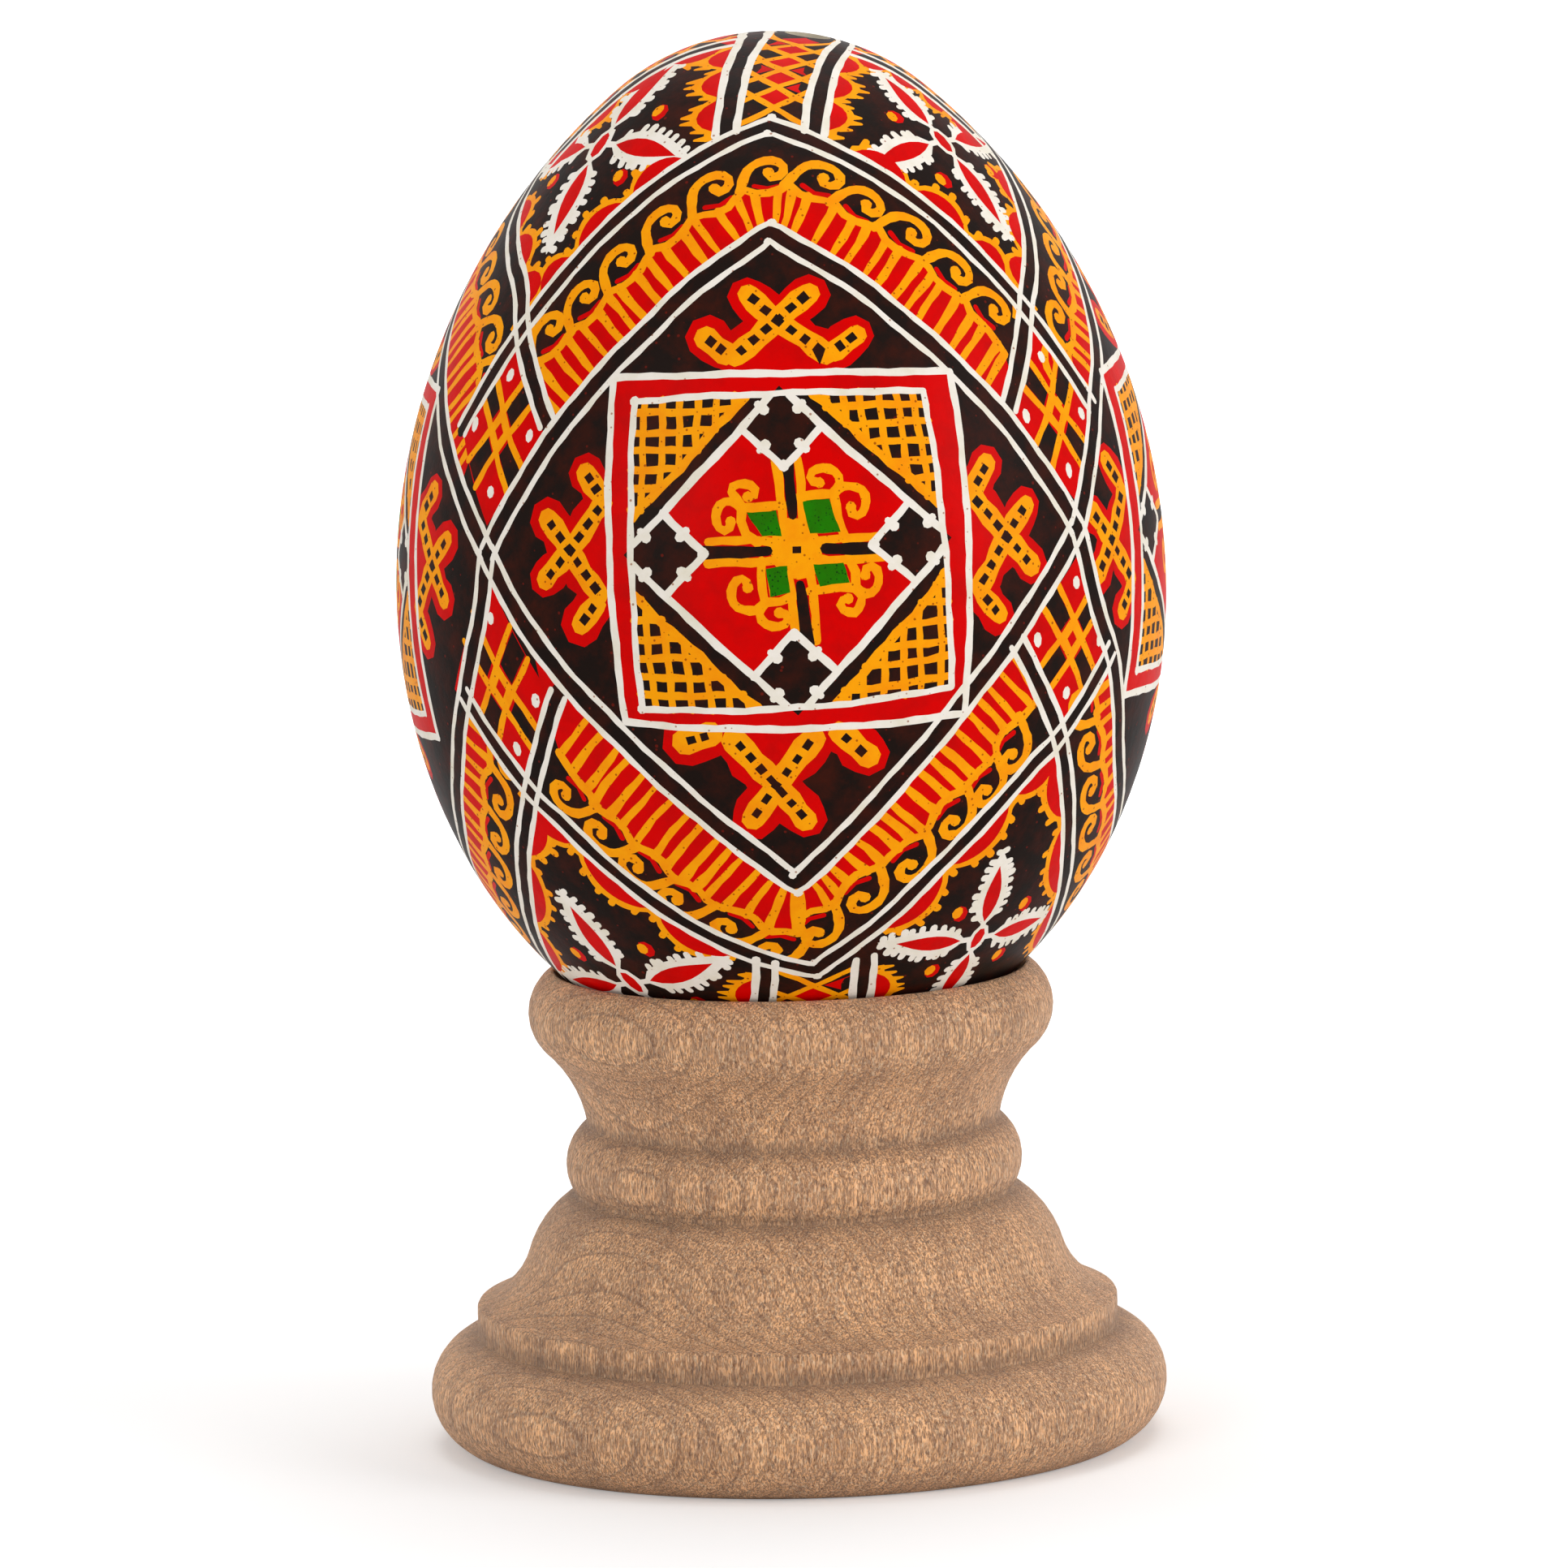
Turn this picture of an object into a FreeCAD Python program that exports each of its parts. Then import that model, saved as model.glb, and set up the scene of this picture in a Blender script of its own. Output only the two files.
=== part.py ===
import FreeCAD, Part
import math
import os
import Sketcher

# A blown, dyed hen's egg standing in a turned wooden cup.
# Millimetres, +Z up. The origin is the middle of the cup's underside, +X is to the right
# and -Y is the front. Three real pieces: the eggshell, the dry skin that lines it and the
# stand, which is turned from one blank. The cup's mouth is worked out from the egg, and
# every other radius and height of the stand is stacked from its neighbour.

SIZES = (
    # the egg, blunt end down
    ("egg_radius", 21.9, "widest radius of the egg"),
    ("egg_length", 58.9, "pole to pole"),
    ("belly_height", 27.2, "from the blunt pole to the widest place"),
    ("point_radius", 13.6, "rounding of the pointed end"),
    ("shell_wall", 0.35, "thickness of the eggshell"),
    ("skin_wall", 0.07, "thickness of the dry skin inside the shell"),
    ("top_hole_radius", 1.3, "blow hole at the pointed end"),
    ("top_hole_right", 2.2, "how far right of the pole it was drilled"),
    ("top_hole_front", 0.3, "how far in front of the pole it was drilled"),
    ("bottom_hole_radius", 1.3, "blow hole at the blunt pole"),
    # how the egg sits in the cup
    ("seat_depth", 5.6, "how deep the blunt pole lies below the cup's lip"),
    ("seat_clearance", 0.25, "room between egg and lip, measured level"),
    ("floor_gap", 2.0, "room under the blunt pole"),
    # the stand's heights, each counted from the one before
    ("foot_belly", 3.1, "underside to the widest place of the foot"),
    ("foot_shoulder", 3.25, "widest place of the foot to the groove"),
    ("step_rise", 1.7, "groove to the edge of the step"),
    ("ogee_hollow_rise", 3.0, "step to the turn of the ogee"),
    ("ogee_round_rise", 3.4, "turn of the ogee to the lower crease"),
    ("bead_rise", 4.0, "lower crease to the upper crease"),
    ("flare_rise", 6.4, "upper crease to the widest place of the rim"),
    ("rim_shoulder", 2.5, "widest place of the rim to the lip"),
    # the stand's radii, each counted from the one before, from the mouth outwards
    ("rim_overhang", 1.45, "lip to the widest place of the rim"),
    ("neck_set_in", 1.75, "lip to the upper crease"),
    ("bead_spread", 0.75, "upper crease to the lower crease"),
    ("ogee_round_run", 2.75, "lower crease to the turn of the ogee"),
    ("ogee_hollow_run", 3.05, "turn of the ogee to the step"),
    ("foot_overhang", 2.75, "step to the widest place of the foot"),
    ("foot_undercut", 2.2, "widest place of the foot to the underside's edge"),
    # the stand's rounds and hollows
    ("ogee_hollow_arc", 4.5, "radius of the hollow above the step"),
    ("bead_arc", 2.9, "radius of the bead's rounding"),
    ("flare_arc", 7.5, "radius of the hollow under the rim"),
    ("rim_arc", 2.9, "radius of the rim's underside"),
)

doc = FreeCAD.newDocument("pysanka")
sheet = doc.addObject("Spreadsheet::Sheet", "Sizes")
for row, (alias, value, meaning) in enumerate(SIZES, start=1):
    sheet.set(f"A{row}", meaning)
    sheet.set(f"B{row}", str(value))
    sheet.setAlias(f"B{row}", alias)
doc.recompute()


def total(*aliases):
    """An expression that adds up cells of the sheet."""
    return "(" + " + ".join(f"Sizes.{alias}" for alias in aliases) + ")"


# The egg's blunt half is half an ellipsoid, so its radius at the lip follows from two sizes.
MOUTH = ("(Sizes.egg_radius * sqrt(1 - (1 - Sizes.seat_depth / Sizes.belly_height)^2)"
         " + Sizes.seat_clearance)")
RIM = f"({MOUTH} + Sizes.rim_overhang)"
NECK = f"({MOUTH} - Sizes.neck_set_in)"
CREASE = f"({NECK} + Sizes.bead_spread)"
TURN = f"({CREASE} + Sizes.ogee_round_run)"
STEP = f"({TURN} + Sizes.ogee_hollow_run)"
FOOT = f"({STEP} + Sizes.foot_overhang)"
UNDERSIDE = f"({FOOT} - Sizes.foot_undercut)"

HEIGHTS = ("foot_belly", "foot_shoulder", "step_rise", "ogee_hollow_rise", "ogee_round_rise",
           "bead_rise", "flare_rise", "rim_shoulder")
LIP_HEIGHT = total(*HEIGHTS)
CUP_FLOOR = f"({LIP_HEIGHT} - Sizes.seat_depth - Sizes.floor_gap)"
EGG_HEIGHT = f"({LIP_HEIGHT} - Sizes.seat_depth)"


def origin_plane(body, role):
    """One of a body's own origin planes."""
    return next(plane for plane in body.Origin.OriginFeatures if plane.Role == role)


def new_sketch(body, name):
    """A sketch on the body's XZ plane: across is the radius, up is the height."""
    sketch = body.newObject("Sketcher::SketchObject", name)
    sketch.AttachmentSupport = [(origin_plane(body, "XZ_Plane"), "")]
    sketch.MapMode = "FlatFace"
    return sketch


def constrain(sketch, *parts, expression=None):
    """Add one constraint, bound to the sheet where it has a size."""
    index = sketch.addConstraint(Sketcher.Constraint(*parts))
    if expression is not None:
        sketch.setExpression(f"Constraints[{index}]", expression)


def at(sketch, point):
    """The place of a point given as two expressions."""
    radius, height = (float(sketch.evalExpression(text)) for text in point)
    return FreeCAD.Vector(radius, height, 0)


def tie(sketch, geometry, end, point):
    """Hold one end of an edge at a radius and a height from the sheet."""
    place = at(sketch, point)
    constrain(sketch, "DistanceX", -1, 1, geometry, end, place.x, expression=point[0])
    constrain(sketch, "DistanceY", -1, 1, geometry, end, place.y, expression=point[1])


def add_arc(sketch, centre, first, last):
    """An arc, counter-clockwise from first to last."""
    spokes = [place - centre for place in (first, last)]
    turns = [math.atan2(spoke.y, spoke.x) for spoke in spokes]
    circle = Part.Circle(centre, FreeCAD.Vector(0, 0, 1), spokes[0].Length)
    return sketch.addGeometry(Part.ArcOfCircle(circle, *turns))


def round_centre(low, high, widest):
    """Centre of the arc from low to high whose widest place is one of its ends."""
    run = abs(high.x - low.x)
    rise = high.y - low.y
    radius = (run ** 2 + rise ** 2) / (2 * run)
    return FreeCAD.Vector(widest.x - radius, widest.y, 0)


def free_centre(low, high, radius, side):
    """Centre of an arc of a given radius from low to high; side 1 bulges out, -1 is hollow."""
    chord = high - low
    depth = math.sqrt(radius ** 2 - (chord.Length / 2) ** 2)
    outward = FreeCAD.Vector(chord.y, -chord.x, 0) / chord.Length
    return (low + high) / 2 - outward * depth * side


def revolve(body, sketch, name, kind="PartDesign::Revolution"):
    """Turn a sketch all the way round its vertical axis."""
    feature = body.newObject(kind, name)
    feature.Profile = sketch
    feature.ReferenceAxis = (sketch, ["V_Axis"])
    feature.Angle = 360
    sketch.Visibility = False
    return feature


def make_stand():
    """The cup: a foot, a step, an ogee, a bead, and a flared rim with a hollow in its top."""
    body = doc.addObject("PartDesign::Body", "stand")
    body.Label = "stand"
    sketch = new_sketch(body, "turned_outline")

    underside = (UNDERSIDE, "0")
    foot = (FOOT, total(*HEIGHTS[:1]))
    groove = (STEP, total(*HEIGHTS[:2]))
    step = (STEP, total(*HEIGHTS[:3]))
    turn = (TURN, total(*HEIGHTS[:4]))
    crease = (CREASE, total(*HEIGHTS[:5]))
    neck = (NECK, total(*HEIGHTS[:6]))
    rim = (RIM, total(*HEIGHTS[:7]))
    lip = (MOUTH, LIP_HEIGHT)
    floor = ("0", CUP_FLOOR)

    p = {name: at(sketch, point) for name, point in dict(
        underside=underside, foot=foot, groove=groove, step=step, turn=turn, crease=crease,
        neck=neck, rim=rim, lip=lip, floor=floor).items()}
    origin = FreeCAD.Vector(0, 0, 0)
    size = {alias: value for alias, value, _ in SIZES}

    # underside and foot
    base = sketch.addGeometry(Part.LineSegment(origin, p["underside"]))
    constrain(sketch, "Coincident", base, 1, -1, 1)
    constrain(sketch, "Horizontal", base)
    constrain(sketch, "DistanceX", -1, 1, base, 2, p["underside"].x, expression=UNDERSIDE)
    foot_low = add_arc(sketch, round_centre(p["underside"], p["foot"], p["foot"]),
                       p["underside"], p["foot"])
    constrain(sketch, "Coincident", base, 2, foot_low, 1)
    tie(sketch, foot_low, 2, foot)
    constrain(sketch, "Horizontal", foot_low, 3, foot_low, 2)
    foot_high = add_arc(sketch, round_centre(p["foot"], p["groove"], p["foot"]),
                        p["foot"], p["groove"])
    constrain(sketch, "Coincident", foot_low, 2, foot_high, 1)
    tie(sketch, foot_high, 2, groove)
    constrain(sketch, "Horizontal", foot_high, 3, foot_high, 1)

    # step
    band = sketch.addGeometry(Part.LineSegment(p["groove"], p["step"]))
    constrain(sketch, "Coincident", foot_high, 2, band, 1)
    tie(sketch, band, 2, step)

    # ogee: a hollow that runs smoothly into a round
    hollow = add_arc(sketch, free_centre(p["step"], p["turn"], size["ogee_hollow_arc"], -1),
                     p["turn"], p["step"])
    constrain(sketch, "Coincident", band, 2, hollow, 2)
    tie(sketch, hollow, 1, turn)
    constrain(sketch, "Radius", hollow, size["ogee_hollow_arc"],
              expression="Sizes.ogee_hollow_arc")
    chord = (p["crease"] - p["turn"]).Length
    swell = add_arc(sketch, free_centre(p["turn"], p["crease"], 1.3 * chord, 1),
                    p["turn"], p["crease"])
    constrain(sketch, "Tangent", hollow, 1, swell, 1)
    tie(sketch, swell, 2, crease)

    # bead between the two creases
    bead = add_arc(sketch, free_centre(p["crease"], p["neck"], size["bead_arc"], 1),
                   p["crease"], p["neck"])
    constrain(sketch, "Coincident", swell, 2, bead, 1)
    tie(sketch, bead, 2, neck)
    constrain(sketch, "Radius", bead, size["bead_arc"], expression="Sizes.bead_arc")

    # flare and rim
    rim_low_centre = p["rim"] - FreeCAD.Vector(size["rim_arc"], 0, 0)
    flare_end = rim_low_centre + FreeCAD.Vector(math.cos(math.radians(-50)),
                                                math.sin(math.radians(-50)), 0) * size["rim_arc"]
    flare = add_arc(sketch, free_centre(p["neck"], flare_end, size["flare_arc"], -1),
                    flare_end, p["neck"])
    constrain(sketch, "Coincident", bead, 2, flare, 2)
    constrain(sketch, "Radius", flare, size["flare_arc"], expression="Sizes.flare_arc")
    rim_low = add_arc(sketch, rim_low_centre, flare_end, p["rim"])
    tie(sketch, rim_low, 2, rim)
    constrain(sketch, "Horizontal", rim_low, 3, rim_low, 2)
    constrain(sketch, "Radius", rim_low, size["rim_arc"], expression="Sizes.rim_arc")
    constrain(sketch, "Tangent", flare, 1, rim_low, 1)
    rim_high = add_arc(sketch, round_centre(p["rim"], p["lip"], p["rim"]), p["rim"], p["lip"])
    constrain(sketch, "Coincident", rim_low, 2, rim_high, 1)
    tie(sketch, rim_high, 2, lip)
    constrain(sketch, "Horizontal", rim_high, 3, rim_high, 1)

    # the hollow that takes the egg, with its centre on the axis
    depth = p["lip"].y - p["floor"].y
    cup_radius = (p["lip"].x ** 2 + depth ** 2) / (2 * depth)
    cup = add_arc(sketch, p["floor"] + FreeCAD.Vector(0, cup_radius, 0), p["floor"], p["lip"])
    axis = sketch.addGeometry(Part.LineSegment(p["floor"], origin))
    constrain(sketch, "Coincident", rim_high, 2, cup, 2)
    constrain(sketch, "PointOnObject", cup, 3, -2)
    constrain(sketch, "Coincident", cup, 1, axis, 1)
    constrain(sketch, "PointOnObject", axis, 1, -2)
    constrain(sketch, "DistanceY", -1, 1, axis, 1, p["floor"].y, expression=CUP_FLOOR)
    constrain(sketch, "Coincident", axis, 2, base, 1)
    revolve(body, sketch, "turning")
    return body


def egg_form(body, name, inset, removed):
    """Add or remove a whole egg, set in from the outside by an expression."""
    blunt_kind = "Subtractive" if removed else "Additive"
    blunt = body.newObject(f"PartDesign::{blunt_kind}Ellipsoid", f"{name}_blunt_half")
    blunt.AttachmentSupport = [(origin_plane(body, "XY_Plane"), "")]
    blunt.MapMode = "FlatFace"
    blunt.Angle1 = -90
    blunt.Angle2 = 0
    blunt.Angle3 = 360
    blunt.setExpression("AttachmentOffset.Base.z", "Sizes.belly_height")
    blunt.setExpression("Radius1", f"Sizes.belly_height - {inset}")
    blunt.setExpression("Radius2", f"Sizes.egg_radius - {inset}")
    blunt.setExpression("Radius3", f"Sizes.egg_radius - {inset}")

    # the pointed half: a long side arc from the belly that runs smoothly into the point
    sketch = new_sketch(body, f"{name}_point_outline")
    belly = (f"(Sizes.egg_radius - {inset})", "Sizes.belly_height")
    pole = ("0", f"(Sizes.egg_length - {inset})")
    point_arc = f"(Sizes.point_radius - {inset})"
    p_belly = at(sketch, belly)
    p_pole = at(sketch, pole)
    p_middle = FreeCAD.Vector(0, p_belly.y, 0)
    point_size = float(sketch.evalExpression(point_arc))
    point_centre = p_pole - FreeCAD.Vector(0, point_size, 0)
    rise = point_centre.y - p_belly.y
    side_size = (p_belly.x ** 2 + rise ** 2 - point_size ** 2) / (2 * (p_belly.x - point_size))
    side_centre = p_belly - FreeCAD.Vector(side_size, 0, 0)
    spoke = (point_centre - side_centre).normalize()
    p_joint = side_centre + spoke * side_size
    level = sketch.addGeometry(Part.LineSegment(p_middle, p_belly))
    side = add_arc(sketch, side_centre, p_belly, p_joint)
    point = add_arc(sketch, point_centre, p_joint, p_pole)
    axis = sketch.addGeometry(Part.LineSegment(p_pole, p_middle))
    constrain(sketch, "Horizontal", level)
    constrain(sketch, "PointOnObject", level, 1, -2)
    tie(sketch, level, 2, belly)
    constrain(sketch, "Coincident", level, 2, side, 1)
    constrain(sketch, "Horizontal", side, 3, side, 1)
    constrain(sketch, "Tangent", side, 2, point, 1)
    constrain(sketch, "PointOnObject", point, 3, -2)
    constrain(sketch, "Radius", point, point_size, expression=point_arc)
    constrain(sketch, "Coincident", point, 2, axis, 1)
    constrain(sketch, "PointOnObject", axis, 1, -2)
    constrain(sketch, "DistanceY", -1, 1, axis, 1, p_pole.y, expression=pole[1])
    constrain(sketch, "Coincident", axis, 2, level, 1)
    kind = "PartDesign::Groove" if removed else "PartDesign::Revolution"
    revolve(body, sketch, f"{name}_pointed_half", kind)


def blow_hole(body, name, radius, bottom, height):
    """Cut an upright round hole; the top one lies a little off the pole."""
    hole = body.newObject("PartDesign::SubtractiveCylinder", name)
    hole.AttachmentSupport = [(origin_plane(body, "XY_Plane"), "")]
    hole.MapMode = "FlatFace"
    hole.setExpression("Radius", radius)
    hole.setExpression("Height", height)
    hole.setExpression("AttachmentOffset.Base.z", bottom)
    return hole


def make_hollow_egg(name, outer_inset, inner_inset):
    """One closed layer of the egg, pierced at both ends, in its place on the cup."""
    body = doc.addObject("PartDesign::Body", name)
    body.Label = name
    egg_form(body, "outside", outer_inset, removed=False)
    egg_form(body, "inside", inner_inset, removed=True)
    top = blow_hole(body, "top_hole", "Sizes.top_hole_radius", "Sizes.belly_height",
                    "Sizes.egg_length - Sizes.belly_height + Sizes.top_hole_radius")
    top.setExpression("AttachmentOffset.Base.x", "Sizes.top_hole_right")
    top.setExpression("AttachmentOffset.Base.y", "-Sizes.top_hole_front")
    blow_hole(body, "bottom_hole", "Sizes.bottom_hole_radius", "-Sizes.bottom_hole_radius",
              "Sizes.belly_height")
    body.setExpression("Placement.Base.z", EGG_HEIGHT)
    return body


parts = (
    make_stand(),
    make_hollow_egg("eggshell", "0", "Sizes.shell_wall"),
    make_hollow_egg("shell_membrane", "Sizes.shell_wall", total("shell_wall", "skin_wall")),
)
doc.recompute()

for item in doc.Objects:
    if {"Invalid", "Error"} & set(item.State):
        raise RuntimeError(f"{item.Name} failed: {item.State}")
for part in parts:
    shape = part.Shape
    if shape.isNull() or not shape.isValid() or len(shape.Solids) != 1:
        raise RuntimeError(f"{part.Label} is not one sound solid")

os.makedirs("parts", exist_ok=True)
for part in parts:
    box = part.Shape.BoundBox
    print(f"{part.Label:15s} volume {part.Shape.Volume:9.2f} mm3, height {box.ZMin:.2f} to "
          f"{box.ZMax:.2f}, width {box.XLength:.2f}")
    part.Shape.exportStep(f"parts/{part.Label}.step")
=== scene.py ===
"""A pysanka on its turned wooden stand: dyed shell, dry skin, wood, floor, lamps and camera."""
import math
import random

import bmesh
import bpy
import numpy as np
from mathutils import Matrix, Vector
from mathutils.geometry import delaunay_2d_cdt


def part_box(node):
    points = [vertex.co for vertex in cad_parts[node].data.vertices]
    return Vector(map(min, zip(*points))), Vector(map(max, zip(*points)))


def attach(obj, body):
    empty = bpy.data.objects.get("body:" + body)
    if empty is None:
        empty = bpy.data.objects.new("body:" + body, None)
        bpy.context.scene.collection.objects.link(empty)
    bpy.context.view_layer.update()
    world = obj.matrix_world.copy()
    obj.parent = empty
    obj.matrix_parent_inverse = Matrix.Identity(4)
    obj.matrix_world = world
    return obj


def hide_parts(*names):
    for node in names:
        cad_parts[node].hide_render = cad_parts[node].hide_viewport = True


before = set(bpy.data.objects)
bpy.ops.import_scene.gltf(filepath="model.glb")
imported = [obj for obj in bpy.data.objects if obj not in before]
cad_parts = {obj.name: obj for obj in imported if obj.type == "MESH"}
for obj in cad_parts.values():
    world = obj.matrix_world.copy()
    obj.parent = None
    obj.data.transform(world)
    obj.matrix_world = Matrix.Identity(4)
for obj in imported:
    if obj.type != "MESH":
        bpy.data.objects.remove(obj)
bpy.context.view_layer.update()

MM = 0.001
DEG = math.pi / 180
TURN = 2 * math.pi


# ---------------------------------------------------------------- the egg's form, in millimetres

EGG_RADIUS = 21.9
EGG_LENGTH = 58.9
BELLY_HEIGHT = 27.2
POINT_RADIUS = 13.6
SHELL_WALL = 0.34
SKIN_OF_VARNISH = 0.004          # the visible shell lies this far inside the solid one
HOLE_RADIUS = 1.3
HOLE_PLACE = (2.2, -0.3)         # the upper blow hole, beside the axis
PULL_START = 27.0                # above this arc the pattern bends over towards that hole
BELLY_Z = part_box("eggshell")[1][2] / MM - (EGG_LENGTH - BELLY_HEIGHT)


def egg_outline():
    """Arc length up from the belly, radius and height over the belly, from pole to pole."""
    top = EGG_LENGTH - BELLY_HEIGHT
    cap_height = top - POINT_RADIUS
    side = (EGG_RADIUS**2 + cap_height**2 - POINT_RADIUS**2) / (2 * (EGG_RADIUS - POINT_RADIUS))
    centre = EGG_RADIUS - side
    lean = math.atan2(cap_height, -centre)
    t = np.linspace(-math.pi / 2, 0, 1500)
    low = np.stack([EGG_RADIUS * np.cos(t), BELLY_HEIGHT * np.sin(t)], 1)
    t = np.linspace(0, lean, 1200)[1:]
    flank = np.stack([centre + side * np.cos(t), side * np.sin(t)], 1)
    t = np.linspace(lean, math.pi / 2, 1200)[1:]
    cap = np.stack([POINT_RADIUS * np.cos(t), cap_height + POINT_RADIUS * np.sin(t)], 1)
    curve = np.vstack([low, flank, cap])
    arc = np.concatenate([[0], np.cumsum(np.hypot(*np.diff(curve, axis=0).T))])
    return arc - arc[len(low) - 1], np.clip(curve[:, 0], 0, None), curve[:, 1]


ARC, RADII, HEIGHTS = egg_outline()
ANGLES = np.arctan2(HEIGHTS, RADII)
SLOPES = np.stack([np.gradient(HEIGHTS, ARC), -np.gradient(RADII, ARC)], 1)
GIRTH = EGG_RADIUS * DEG         # chart millimetres for one degree of longitude
BELOW, ABOVE = slice(0, 1400), slice(1500, None)     # outline points under and over the belly


def radius_at(v):
    return np.interp(v, ARC, RADII)


def degree_at(v):
    """Millimetres round the egg for one degree of longitude, at an arc."""
    return radius_at(v) * DEG


def arc_of_radius(radius, upper):
    """The arc at which the egg has a given radius, over or under its belly."""
    if upper:
        return np.interp(-radius, -RADII[ABOVE], ARC[ABOVE])
    return np.interp(radius, RADII[BELOW], ARC[BELOW])


LOWEST, HIGHEST = (float(arc_of_radius(HOLE_RADIUS, upper)) for upper in (False, True))


def pull_at(v):
    """How far the pattern is drawn over towards the upper blow hole, from 0 to 1."""
    return np.clip((v - PULL_START) / (HIGHEST - PULL_START), 0, 1) ** 2


def on_egg(lon, v, depth=0.0):
    """Places on the shell, and the outward directions there, for longitudes and arcs."""
    lon, v = np.asarray(lon, float) * DEG, np.asarray(v, float)
    pull = pull_at(v)
    x = radius_at(v) * np.sin(lon) + HOLE_PLACE[0] * pull
    y = -radius_at(v) * np.cos(lon) + HOLE_PLACE[1] * pull
    rho = np.hypot(x, y)
    arc = np.where(v > PULL_START, arc_of_radius(rho, True), v)
    side = np.interp(arc, ARC, SLOPES[:, 0])
    rise = np.interp(arc, ARC, SLOPES[:, 1])
    long = np.maximum(np.hypot(side, rise), 1e-9)
    out = np.stack([side / long * x / rho, side / long * y / rho, rise / long], -1)
    place = np.stack([x, y, BELLY_Z + np.interp(arc, ARC, HEIGHTS)], -1)
    return place - depth * out, out


def on_chart(place, near):
    """Longitude and arc of places in space, with longitudes kept near the given one."""
    lon = np.degrees(np.arctan2(place[:, 0], -place[:, 1]))
    lon = near + (lon - near + 180) % 360 - 180
    rise = np.arctan2(place[:, 2] - BELLY_Z, np.hypot(place[:, 0], place[:, 1]))
    return np.stack([lon, np.interp(rise, ANGLES, ARC)], 1)


def laid_at(lon, v, turn=0.0, size=1.0, ball=21.0):
    """A function that lays flat millimetres on the egg round one place, turned by degrees."""
    here, out = on_egg(lon, v)
    here = here - pull_at(v) * np.array([HOLE_PLACE[0], HOLE_PLACE[1], 0])
    east = np.array([math.cos(lon * DEG), math.sin(lon * DEG), 0])
    north = np.cross(out, east)
    c, s = math.cos(turn * DEG), math.sin(turn * DEG)

    def lay(points):
        p = np.atleast_2d(np.asarray(points, float)) * size
        x, y = p[:, 0] * c - p[:, 1] * s, p[:, 0] * s + p[:, 1] * c
        far = np.maximum(np.hypot(x, y), 1e-6)
        flat = (x[:, None] * east + y[:, None] * north) / far[:, None]
        a = (far / ball)[:, None]
        return on_chart(here - ball * out + ball * (np.cos(a) * out + np.sin(a) * flat), lon)

    return lay


# ---------------------------------------------------------------- lines and areas of dye

CHART_SPACING = 1.5              # millimetres between the free points of the shell's outside
CHART_ROWS = 60
LINING_SPACING = 2.4             # the same for its inside
LINING_ROWS = 36
SEAM_ROWS = 90
RIM_POINTS = 73
BLACK, RED, YELLOW, WHITE, GREEN, BARE = range(6)
FILL, STROKE, MARK, TOP, GAP, WAX = range(6)     # layers, from the lowest up


def steps_along(p):
    k = degree_at(p[:, 1])
    k = (k[1:] + k[:-1]) / 2
    return np.concatenate([[0], np.cumsum(np.hypot(np.diff(p[:, 0]) * k, np.diff(p[:, 1])))])


def flow(points, step=0.4, curved=True, closed=False):
    """Points at even steps of real millimetres along a line through the given ones."""
    p = np.asarray(points, float)
    if closed:
        p = np.vstack([p, p[:1]])
    if curved and len(p) > 2:
        ends = (p[-2], p[1]) if closed else (2 * p[0] - p[1], 2 * p[-1] - p[-2])
        q = np.vstack([ends[0], p, ends[1]])
        t = np.linspace(0, 1, 12, endpoint=False)[:, None]
        rows = []
        for a, b, c, d in zip(q, q[1:], q[2:], q[3:]):
            rows.append(b + t * (c - a) / 2 + t**2 * (a - 2.5 * b + 2 * c - d / 2)
                        + t**3 * (1.5 * (b - c) + (d - a) / 2))
        p = np.vstack(rows + [p[-1:]])
    length = steps_along(p)
    at = np.linspace(0, length[-1], max(1, round(length[-1] / step)) + 1)
    return np.stack([np.interp(at, length, p[:, 0]), np.interp(at, length, p[:, 1])], 1), at


def headings(p):
    k = degree_at(p[:, 1])
    d = np.gradient(p, axis=0)
    d[:, 0] *= k
    return d / np.maximum(np.hypot(d[:, 0], d[:, 1]), 1e-9)[:, None], k


def beside(p, off):
    """The points moved off millimetres to the left of their line."""
    d, k = headings(p)
    return p + np.stack([-d[:, 1] * off / k, d[:, 0] * off], 1)


def part_of(p, start, end, step=0.4):
    """The stretch of a line from one fraction of its length to another."""
    length = steps_along(p)
    at = np.linspace(start, end, max(2, round(abs(end - start) * length[-1] / step) + 1))
    at = at * length[-1]
    return np.stack([np.interp(at, length, p[:, 0]), np.interp(at, length, p[:, 1])], 1)


def winding(polygon, points):
    """How often a closed outline goes round each of the points."""
    a, b = polygon, np.roll(polygon, -1, axis=0)
    total = np.zeros(len(points), int)
    for first in range(0, len(a), 64):
        p, q = a[first:first + 64, None], b[first:first + 64, None]
        y = points[None, :, 1]
        left = (q[..., 0] - p[..., 0]) * (y - p[..., 1]) - (points[None, :, 0] - p[..., 0]) \
            * (q[..., 1] - p[..., 1])
        up = (p[..., 1] <= y) & (q[..., 1] > y) & (left > 0)
        down = (p[..., 1] > y) & (q[..., 1] <= y) & (left < 0)
        total += up.sum(0) - down.sum(0)
    return total


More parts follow.
